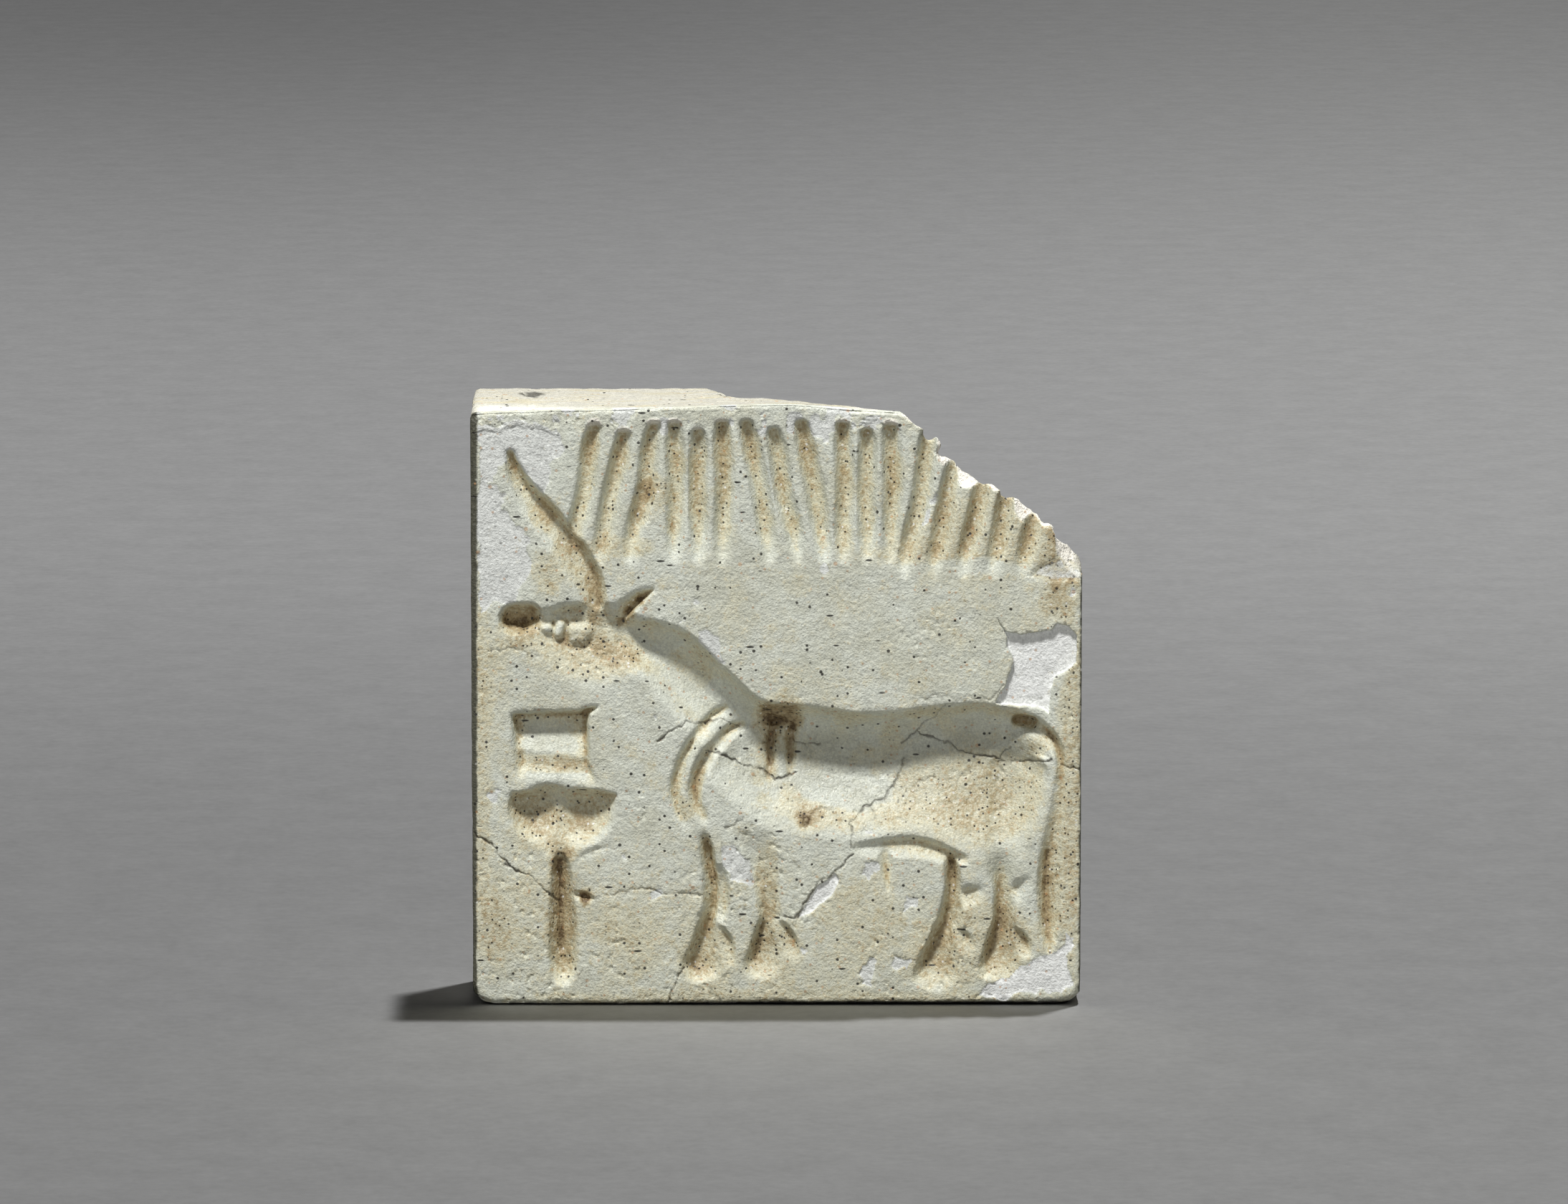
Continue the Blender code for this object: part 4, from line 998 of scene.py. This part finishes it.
def break_cutter():
    """The lost corner as a solid: a rough sheet through the three lines, extruded away from the seal."""
    rows = smooth_run(BREAK_ROWS, 6)
    back = smooth_run(BREAK_BACK, 40)
    share = np.linspace(0, 1, len(rows))
    back = np.stack([np.interp(share, np.linspace(0, 1, len(back)), back[:, k]) for k in (0, 1)], -1)
    face = np.stack([rows[:, 0], np.zeros(len(rows)), rows[:, 1]], -1)
    ridge = np.stack([rows[:, 2], np.maximum(rows[:, 4], 0.15), rows[:, 3]], -1)
    rear = np.stack([back[:, 0], np.full(len(rows), THICKNESS + BREAK_OVERSHOOT), back[:, 1]], -1)
    lead = face - 0.5 * (ridge - face) / np.maximum(ridge[:, 1:2], 0.3)
    lead[:, 1] = -0.5
    steps = [(lead, face, 3), (face, ridge, 6), (ridge, rear, 34)]
    lines = []
    for start, stop, count in steps:
        for t in np.arange(count) / count:
            t = t**1.25 if stop is rear else t
            lines.append(start + t * (stop - start))
    lines.append(rear)
    sheet = np.stack(lines, 1)
    depth = sheet[..., 1]
    fine = smoothstep(-0.1, 0.5, depth)
    rough = 0.45 * fractal(sheet / 3.4, 2, 200) * smoothstep(0.8, 3.0, depth)
    rough = rough + 0.20 * noise3(sheet / 1.1, 203) * fine
    rough = rough + 0.11 * fractal(sheet / 0.42, 2, 204) * (0.5 + 0.5 * fine)
    dish = 0.9 * np.sin(math.pi * np.clip(depth / THICKNESS, 0, 1)) * smoothstep(0.5, 2.0, depth)
    sheet = sheet + (rough - dish * 0.5)[..., None] * OUT_OF_BREAK
    sheet = sheet * (WIDTH / DRAWN[0], 1.0, HEIGHT / DRAWN[1])
    n, m = sheet.shape[:2]
    verts = np.vstack([sheet.reshape(-1, 3), (sheet + BREAK_REACH * OUT_OF_BREAK).reshape(-1, 3)])
    grid = np.arange(n * m).reshape(n, m)
    quads = np.stack([grid[:-1, :-1], grid[1:, :-1], grid[1:, 1:], grid[:-1, 1:]], -1).reshape(-1, 4)
    ring = np.concatenate([grid[:, 0], grid[-1, 1:], grid[-2::-1, -1], grid[0, -2:0:-1]])
    wall = np.stack([np.roll(ring, -1), ring, ring + n * m, np.roll(ring, -1) + n * m], -1)
    faces = np.vstack([quads, quads[:, ::-1] + n * m, wall])
    return mesh_object("break_cutter", to_world(verts), faces.tolist())


def tube(name, centres, radius, sides, roughness):
    """A closed tube round the centres, an array of points, with slightly uneven walls."""
    tangent = np.gradient(centres, axis=0)
    tangent /= np.linalg.norm(tangent, axis=1, keepdims=True)
    runs_across = abs(tangent[0, 0]) > 0.5
    side = np.cross(tangent, (0.0, 0.0, 1.0) if runs_across else (1.0, 0.0, 0.0))
    side /= np.linalg.norm(side, axis=1, keepdims=True)
    up = np.cross(side, tangent)
    angle = np.arange(sides) / sides * 2 * math.pi
    spokes = side[:, None] * np.cos(angle)[:, None] + up[:, None] * np.sin(angle)[:, None]
    ring = centres[:, None] + radius * spokes
    ring = ring + roughness * noise3(ring / 0.7, 31)[..., None] * (ring - centres[:, None]) / radius
    n = len(centres)
    verts = np.vstack([ring.reshape(-1, 3), centres[:1], centres[-1:]])
    index = np.arange(n * sides).reshape(n, sides)
    after = np.roll(index, -1, 1)
    body = np.stack([index[:-1], after[:-1], after[1:], index[1:]], -1).reshape(-1, 4)
    first_cap = np.stack([np.full(sides, n * sides), after[0], index[0]], -1)
    last_cap = np.stack([np.full(sides, n * sides + 1), index[-1], after[-1]], -1)
    return mesh_object(name, to_world(verts), body.tolist() + first_cap.tolist() + last_cap.tolist())


def groove_cutter():
    """The groove over the boss from top to bottom, which follows its curve."""
    sink = GROOVE_DEPTH - GROOVE_RADIUS
    count = 50
    angle = np.linspace(math.radians(2), math.radians(178), count)
    across = (BOSS_RADIUS - sink) * np.cos(angle)
    rise = (BOSS_HEIGHT - sink) * np.sin(angle)
    centres = np.stack([np.full(count, BOSS_CENTRE[0]), THICKNESS + rise, BOSS_CENTRE[1] + across], -1)
    return tube("groove_cutter", centres, GROOVE_RADIUS, sides=20, roughness=0.05)


def hole_cutter():
    """The cord hole through the boss from side to side."""
    reach = BOSS_RADIUS + 2.0
    count = 60
    x = BOSS_CENTRE[0] + np.linspace(-reach, reach, count)
    middle = THICKNESS + HOLE_FLOOR + HOLE_RADIUS
    centres = np.stack([x, np.full(count, middle), np.full(count, BOSS_CENTRE[1])], -1)
    return tube("hole_cutter", centres, HOLE_RADIUS, sides=28, roughness=0.06)


def turn_outward(obj):
    """Turns the mesh's faces outwards if its volume says that they point in."""
    bm = bmesh.new()
    bm.from_mesh(obj.data)
    bmesh.ops.recalc_face_normals(bm, faces=bm.faces)
    if bm.calc_volume(signed=True) < 0:
        bmesh.ops.reverse_faces(bm, faces=bm.faces)
    bm.to_mesh(obj.data)
    bm.free()


def subtract(obj, cutters):
    """Cuts the closed cutters out of the closed mesh and removes them."""
    for cutter in cutters:
        turn_outward(cutter)
        modifier = obj.modifiers.new(cutter.name, "BOOLEAN")
        modifier.operation = "DIFFERENCE"
        modifier.solver = "MANIFOLD"
        modifier.object = cutter
    graph = bpy.context.evaluated_depsgraph_get()
    mesh = bpy.data.meshes.new_from_object(obj.evaluated_get(graph))
    obj.modifiers.clear()
    old = obj.data
    obj.data = mesh
    bpy.data.meshes.remove(old)
    for cutter in cutters:
        bpy.data.objects.remove(cutter)


def paint(obj):
    """Writes the masks that the stone's material reads, such as dirt, cracks and painted shade, and returns
    their names.
    """
    mesh = obj.data
    count = len(mesh.vertices)
    co = np.zeros(count * 3, np.float32)
    mesh.vertices.foreach_get("co", co)
    p = co.reshape(-1, 3) / MM - (LEFT, FACE_Y, 0.0)
    x, z = drawn_place(p)
    surface = look_up(front_field, x, z)
    front = 1 - smoothstep(0.05, 0.16, np.abs(p[:, 1] - surface))
    at_border = np.minimum.reduce([x, DRAWN[0] - x, z, DRAWN[1] - z]) < 0.7
    front = np.where(at_border & (p[:, 1] < 0.7), 1.0, front)
    inset = np.minimum.reduce([p[:, 0], WIDTH - p[:, 0], p[:, 2], HEIGHT - p[:, 2], THICKNESS - p[:, 1]])
    broken = (1 - front) * smoothstep(0.28, 0.45, inset)
    broken[p[:, 1] > THICKNESS - 0.25] = 0.0
    flank = np.clip(1 - front - broken, 0, 1)
    # The pit in the top face and a ring round it are painted near-black.
    pit = from_top_pit(p, TOP_PIT_DARK_REACH) + 0.3 * noise3(p / 0.4, 14)
    pit = smoothstep(1.05, 0.85, pit) * (p[:, 2] > HEIGHT - 1.5)
    # The foot line bounds a near-black strip along the bottom of the front: painted shadow of the gap under
    # the worn lower arris.
    foot_line = 0.13 + 0.10 * smoothstep(4.0, 22.0, p[:, 0]) - 0.05 * noise3(p / 0.5, 12)
    uneven = 0.08 * noise3(p / 0.45, 13)
    # Strips along the left and right edges of the front, painted dark as shade on the arrises turned from
    # the light.
    dark_left = 0.25 + 0.20 * p[:, 2] / HEIGHT + uneven
    dark_right = 0.12 + uneven
    in_from_dark = np.minimum(p[:, 0] - dark_left, WIDTH - dark_right - p[:, 0])
    masks = {
        "dirt": look_up(dirt_field, x, z) * front,
        "hollow": np.clip(look_up(depth_field, x, z), 0.0, 1.0) * front,
        "white": look_up(white_field, x, z) * front,
        "crack": look_up(crack_field, x, z) * front,
        "broken": broken,
        "flank": flank,
        # Painted shade on the side strips
        "painted_side_shade": smoothstep(0.05, -0.05, in_from_dark) * smoothstep(1.1, 0.5, p[:, 1]),
        # Painted shadow along the foot of the front, and the top face's pit painted dark
        "underside": np.maximum(smoothstep(0.08, -0.08, p[:, 2] - foot_line), 0.8 * pit),
        # Painted shade: the deepest part of the trunk's hollow, below the back line
        "deep": smoothstep(0.4, 1.5, look_up(depth_field, x, z)) * smoothstep(17.0, 14.8, z) * front,
    }
    for name, values in masks.items():
        layer = mesh.attributes.new(name, "FLOAT", "POINT")
        layer.data.foreach_set("value", values.astype(np.float32))
    return list(masks)


# Materials

class Graph:
    """Short ways to add nodes to a material."""

    def __init__(self, name):
        self.material = bpy.data.materials.new(name)
        self.material.use_nodes = True
        self.tree = self.material.node_tree
        self.shader = self.tree.nodes["Principled BSDF"]

    def add(self, kind, inputs=(), **settings):
        node = self.tree.nodes.new(kind)
        for key, value in settings.items():
            setattr(node, key, value)
        for key, value in dict(inputs).items():
            if isinstance(value, bpy.types.NodeSocket):
                self.tree.links.new(value, node.inputs[key])
            else:
                node.inputs[key].default_value = value
        return node

    def attribute(self, name):
        return self.add("ShaderNodeAttribute", attribute_name=name).outputs["Fac"]

    def math(self, operation, a, b=0.0, clamp=False):
        return self.add("ShaderNodeMath", {0: a, 1: b}, operation=operation, use_clamp=clamp).outputs[0]

    def times(self, a, b):
        return self.math("MULTIPLY", a, b)

    def swing(self, base, value, reach):
        """The base plus how far the value is from a half, times the reach."""
        return self.math("ADD", base, self.times(self.math("SUBTRACT", value, 0.5), reach))

    def noise(self, place, size, detail=2.0, rough=0.5):
        inputs = {"Vector": place, "Scale": 1 / (size * MM), "Detail": detail, "Roughness": rough}
        return self.add("ShaderNodeTexNoise", inputs).outputs["Fac"]

    def ramp(self, value, low, high):
        inputs = {"Value": value, "From Min": low, "From Max": high}
        node = self.add("ShaderNodeMapRange", inputs, interpolation_type="SMOOTHSTEP")
        return node.outputs["Result"]

    def mix(self, share, a, b, blend="MIX"):
        node = self.add("ShaderNodeMix", data_type="RGBA", blend_type=blend)
        for socket, value in ((node.inputs[0], share), (node.inputs[6], a), (node.inputs[7], b)):
            if isinstance(value, bpy.types.NodeSocket):
                self.tree.links.new(value, socket)
            else:
                socket.default_value = value
        return node.outputs[2]

    def link(self, value, socket):
        self.tree.links.new(value, self.shader.inputs[socket])


def srgb(r, g, b):
    """A colour given in screen values of 0 to 255."""
    values = [c / 255 for c in (r, g, b)]
    linear = [c / 12.92 if c <= 0.04045 else ((c + 0.055) / 1.055) ** 2.4 for c in values]
    return (*linear, 1.0)


GLAZE = srgb(224, 227, 213)
GLAZE_DULL = srgb(213, 214, 196)
CHALK = srgb(247, 248, 244)
FLAKED = srgb(228, 230, 224)
WASH = srgb(225, 222, 196)
TAN = srgb(210, 201, 169)
OCHRE = srgb(181, 163, 126)
BROWN = srgb(108, 88, 60)
DARK = srgb(62, 50, 35)
CREAM = srgb(251, 246, 232)
LIME = srgb(208, 205, 191)
# Grey-olive for the painted shade on the side strips of the front
SIDE_SHADE = srgb(86, 85, 71)
# Near-black for the painted shadow in the gap along the foot, also painted over the top face's pit
GAP_SHADOW = srgb(24, 20, 15)
RUST = srgb(196, 148, 100)
SPECK = srgb(34, 30, 24)
# Near-white for painted glints
PAINTED_GLINT = srgb(248, 248, 242)


def specks(graph, place, size, share, radius, stretch=(1.0, 1.0, 1.0), turn=0.0):
    """Small grains: a mask of round or long dots, in a share of the cells of the given size.

    The radius is the share of a cell at which a dot ends, and the turn is in degrees about Y.
    """
    inputs = {"Vector": place, "Scale": stretch, "Rotation": (0.0, math.radians(turn), 0.0)}
    moved = graph.add("ShaderNodeMapping", inputs).outputs[0]
    cells = graph.add("ShaderNodeTexVoronoi", {"Vector": moved, "Scale": 1 / (size * MM), "Randomness": 1.0})
    tone = graph.add("ShaderNodeSeparateColor", {0: cells.outputs["Color"]}).outputs[0]
    chosen = graph.math("GREATER_THAN", tone, 1 - share)
    near = graph.ramp(cells.outputs["Distance"], radius, radius * 0.6)
    return graph.times(chosen, near)


def stone_colour(g, place, mask):
    """The stone's colour: dull glaze, tan and brown dirt, chalky flakes, cream breaks and dark specks, with
    painted glints and painted shade in the deepest hollow, on the side strips and along the foot.
    """
    dirt, white = mask["dirt"], mask["white"]
    cloud = g.noise(place, 2.6, 4.0, 0.55)
    grain = g.noise(place, 0.26, 3.0, 0.65)
    fine = g.noise(place, 0.11, 2.0, 0.6)
    rusty = g.noise(place, 0.55, 5.0, 0.72)
    cells = g.add("ShaderNodeTexVoronoi", {"Vector": place, "Scale": 1 / (0.13 * MM), "Randomness": 1.0})
    pebble = g.add("ShaderNodeSeparateColor", {0: cells.outputs["Color"]}).outputs[0]

    colour = g.mix(g.ramp(cloud, 0.40, 0.66), GLAZE, GLAZE_DULL)
    stain = g.swing(dirt, rusty, 0.35)
    colour = g.mix(g.ramp(stain, 0.0, 0.26), colour, WASH)
    uneven = g.swing(dirt, grain, 1.25)
    uneven = g.swing(uneven, rusty, 0.85)
    uneven = g.swing(uneven, pebble, 0.28)
    colour = g.mix(g.ramp(uneven, 0.16, 0.50), colour, TAN)
    colour = g.mix(g.ramp(uneven, 0.38, 0.76), colour, OCHRE)
    colour = g.mix(g.ramp(uneven, 0.74, 1.25), colour, BROWN)
    chalk = g.mix(g.ramp(white, 0.66, 0.85), FLAKED, CHALK)
    chalk = g.mix(g.ramp(rusty, 0.60, 0.78), chalk, TAN)
    edge = g.swing(white, rusty, 0.35)
    colour = g.mix(g.ramp(edge, 0.26, 0.42), colour, chalk)

    stained = g.ramp(g.noise(place, 0.5, 4.0, 0.7), 0.62, 0.86)
    colour = g.mix(mask["broken"], colour, g.mix(stained, CREAM, RUST))
    streaked = g.add("ShaderNodeMapping", {"Vector": place, "Scale": (0.18, 1.0, 1.0)}).outputs[0]
    side_stain = g.ramp(g.noise(streaked, 0.5, 5.0, 0.65), 0.46, 0.72)
    colour = g.mix(mask["flank"], colour, g.mix(side_stain, LIME, TAN))
    # Painted shade on the strips along the left and right edges of the front.
    colour = g.mix(mask["painted_side_shade"], colour, SIDE_SHADE)

    rust_dots = g.math("MAXIMUM", specks(g, place, 0.34, 0.10, 0.30), specks(g, place, 0.7, 0.07, 0.22))
    colour = g.mix(g.times(rust_dots, 0.55), colour, RUST)
    # Painted glints: near-white dots in the stained parts stand in for glints on the glaze.
    painted_glints = g.times(specks(g, place, 0.3, 0.16, 0.30), g.ramp(dirt, 0.05, 0.5))
    colour = g.mix(g.times(painted_glints, 0.8), colour, PAINTED_GLINT)
    long_dots = g.math("MAXIMUM", specks(g, place, 0.6, 0.03, 0.22, (0.45, 1.0, 1.6), 30),
                       specks(g, place, 0.62, 0.03, 0.22, (0.45, 1.0, 1.6), 125))
    dots = g.math("MAXIMUM", specks(g, place, 0.30, 0.05, 0.36), specks(g, place, 0.66, 0.05, 0.19))
    crowd = g.times(specks(g, place, 0.24, 0.26, 0.34), g.ramp(dirt, 0.08, 0.40))
    dots = g.math("MAXIMUM", dots, crowd)
    dark = g.math("MAXIMUM", dots, long_dots)
    dark = g.times(dark, g.math("SUBTRACT", 1.0, g.times(white, 0.8)))
    colour = g.mix(g.times(dark, 0.92), colour, SPECK)
    colour = g.mix(g.times(mask["crack"], 0.8), colour, DARK)
    # Painted shadow along the foot of the front, and the top face's pit painted near-black.
    colour = g.mix(mask["underside"], colour, GAP_SHADOW)

    tone = g.swing(1.0, pebble, 0.18)
    tone = g.swing(tone, fine, 0.6)
    # Painted shade: darker in the deepest part of the trunk's hollow.
    tone = g.math("SUBTRACT", tone, g.times(mask["deep"], 0.16))
    mottled = g.noise(place, 0.9, 3.0, 0.6)
    tone = g.swing(tone, mottled, 0.3)
    shade = g.add("ShaderNodeCombineColor", {0: tone, 1: tone, 2: tone}).outputs[0]
    return g.mix(1.0, colour, shade, "MULTIPLY"), grain, fine, cells.outputs["Distance"], dark


def stone_material(mask_names):
    """The finish of the whole seal, which reads the masks painted on its mesh."""
    g = Graph("fired_soapstone")
    place = g.add("ShaderNodeTexCoord").outputs["Object"]
    mask = {name: g.attribute(name) for name in mask_names}
    colour, grain, fine, pebble, dark = stone_colour(g, place, mask)
    g.link(colour, "Base Color")

    rough = g.math("ADD", 0.50, g.times(mask["white"], 0.28))
    rough = g.math("SUBTRACT", rough, g.times(mask["hollow"], 0.14))
    rough = g.swing(rough, grain, 0.45)
    rough = g.math("ADD", rough, g.times(mask["broken"], 0.3), clamp=True)
    g.link(rough, "Roughness")
    g.shader.inputs["Specular IOR Level"].default_value = 0.45

    height = g.math("ADD", g.times(grain, 0.085), g.times(fine, 0.028))
    height = g.math("ADD", height, g.times(pebble, 0.010))
    height = g.math("ADD", height, g.times(g.noise(place, 0.7, 3.0, 0.5), 0.05))
    height = g.math("ADD", height, g.times(g.times(mask["broken"], grain), 0.08))
    height = g.math("SUBTRACT", height, g.times(dark, 0.012))
    metres = g.times(height, MM)
    bump = g.add("ShaderNodeBump", {"Height": metres, "Strength": 1.0, "Distance": 1.0})
    g.link(bump.outputs[0], "Normal")
    return g.material


def build_seal():
    verts, faces = sharp_box()
    faces = outward(verts, faces)
    seal = mesh_object("seal_stone", to_world(worn(verts)), faces.tolist())
    turn_outward(seal)
    subtract(seal, [break_cutter(), groove_cutter(), hole_cutter()])
    seal.data.shade_smooth()
    mask_names = paint(seal)
    seal.data.materials.clear()
    seal.data.materials.append(stone_material(mask_names))
    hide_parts(NODE)
    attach(seal, "root")
    return seal


# Floor, light and camera

def floor():
    """A plain sheet of paper with painted light and shade: darker near the seal as a painted soft shadow,
    lighter behind the seal and towards the right as a painted pool of light, and darker far behind as
    painted falloff of the light.
    """
    bpy.ops.mesh.primitive_plane_add(size=8.0)
    plane = bpy.context.active_object
    plane.name = "floor"
    g = Graph("floor_paper")
    place = g.add("ShaderNodeTexCoord").outputs["Object"]
    axes = g.add("ShaderNodeSeparateXYZ", {0: place}).outputs
    # Painted light and shade on the floor: darker near the seal, lighter behind it and to the right, darker
    # again far behind.
    behind = g.ramp(axes[1], 0.03, 0.22)
    farthest = g.ramp(axes[1], 0.28, 0.75)
    right = g.ramp(axes[0], -0.07, 0.09)
    near = g.mix(right, srgb(198, 198, 198), srgb(214, 214, 213))
    far = g.mix(right, srgb(224, 224, 224), srgb(238, 238, 237))
    last = g.mix(right, srgb(186, 186, 186), srgb(216, 216, 215))
    colour = g.mix(farthest, g.mix(behind, near, far), last)
    fibres = g.math("ADD", g.noise(place, 0.8, 4.0, 0.7), g.times(g.noise(place, 4.0, 2.0, 0.5), 0.6))
    tone = g.swing(0.90, fibres, 0.34)
    shade = g.add("ShaderNodeCombineColor", {0: tone, 1: tone, 2: tone}).outputs[0]
    g.link(g.mix(1.0, colour, shade, "MULTIPLY"), "Base Color")
    g.shader.inputs["Roughness"].default_value = 0.9
    plane.data.materials.append(g.material)


def direction(azimuth, elevation):
    """The way to a lamp or the camera. Azimuth 0 is in front of the face, and positive is to the right."""
    a, e = math.radians(azimuth), math.radians(elevation)
    return Vector((math.sin(a) * math.cos(e), -math.cos(a) * math.cos(e), math.sin(e)))


def area_light(name, azimuth, elevation, distance, size, power, only=None):
    """A soft square lamp aimed at the seal, which with only lights nothing but that object."""
    way = direction(azimuth, elevation)
    data = bpy.data.lights.new(name, "AREA")
    data.size = size
    data.energy = power
    lamp = bpy.data.objects.new(name, data)
    lamp.location = Vector((0, 0, HEIGHT * MM / 2)) + way * distance
    lamp.rotation_euler = (-way).to_track_quat("-Z", "Y").to_euler()
    bpy.context.scene.collection.objects.link(lamp)
    if only:
        lit = bpy.data.collections.new(name + "_lights")
        lit.objects.link(only)
        lamp.light_linking.receiver_collection = lit


def lights(seal):
    area_light("key", azimuth=-17, elevation=63, distance=0.7, size=0.085, power=5.3, only=seal)
    area_light("front", azimuth=-8, elevation=14, distance=0.8, size=0.5, power=0.9, only=seal)
    area_light("overhead", azimuth=140, elevation=79.8, distance=1.4, size=0.05, power=7.6)
    world = bpy.data.worlds.new("soft_room")
    world.use_nodes = True
    background = world.node_tree.nodes["Background"]
    background.inputs["Color"].default_value = (1.0, 1.0, 1.0, 1.0)
    background.inputs["Strength"].default_value = 0.035
    bpy.context.scene.world = world


# The camera's place from the middle of the face, the width of its frame there and what it aims at
CAMERA_DISTANCE = 520 * MM
CAMERA_ELEVATION = 9.1
FRAME_WIDTH = 92.40 * MM
AIM_RIGHT = 0.44 * MM
AIM_UP = 6.13 * MM


def camera():
    way = direction(0.0, CAMERA_ELEVATION)
    right = Vector((1.0, 0.0, 0.0))
    up = right.cross(-way)
    face_middle = Vector((0.0, FACE_Y * MM, HEIGHT * MM / 2))
    data = bpy.data.cameras.new("camera")
    data.sensor_width = 36.0
    data.lens = data.sensor_width * CAMERA_DISTANCE / FRAME_WIDTH
    data.clip_start, data.clip_end = 0.05, 20.0
    obj = bpy.data.objects.new("camera", data)
    obj.location = face_middle + way * CAMERA_DISTANCE
    aim = face_middle + right * AIM_RIGHT + up * AIM_UP
    obj.rotation_euler = (aim - obj.location).to_track_quat("-Z", "Y").to_euler()
    bpy.context.scene.collection.objects.link(obj)
    bpy.context.scene.camera = obj


seal_stone = build_seal()
floor()
lights(seal_stone)
camera()
bpy.context.scene.view_settings.view_transform = "Standard"
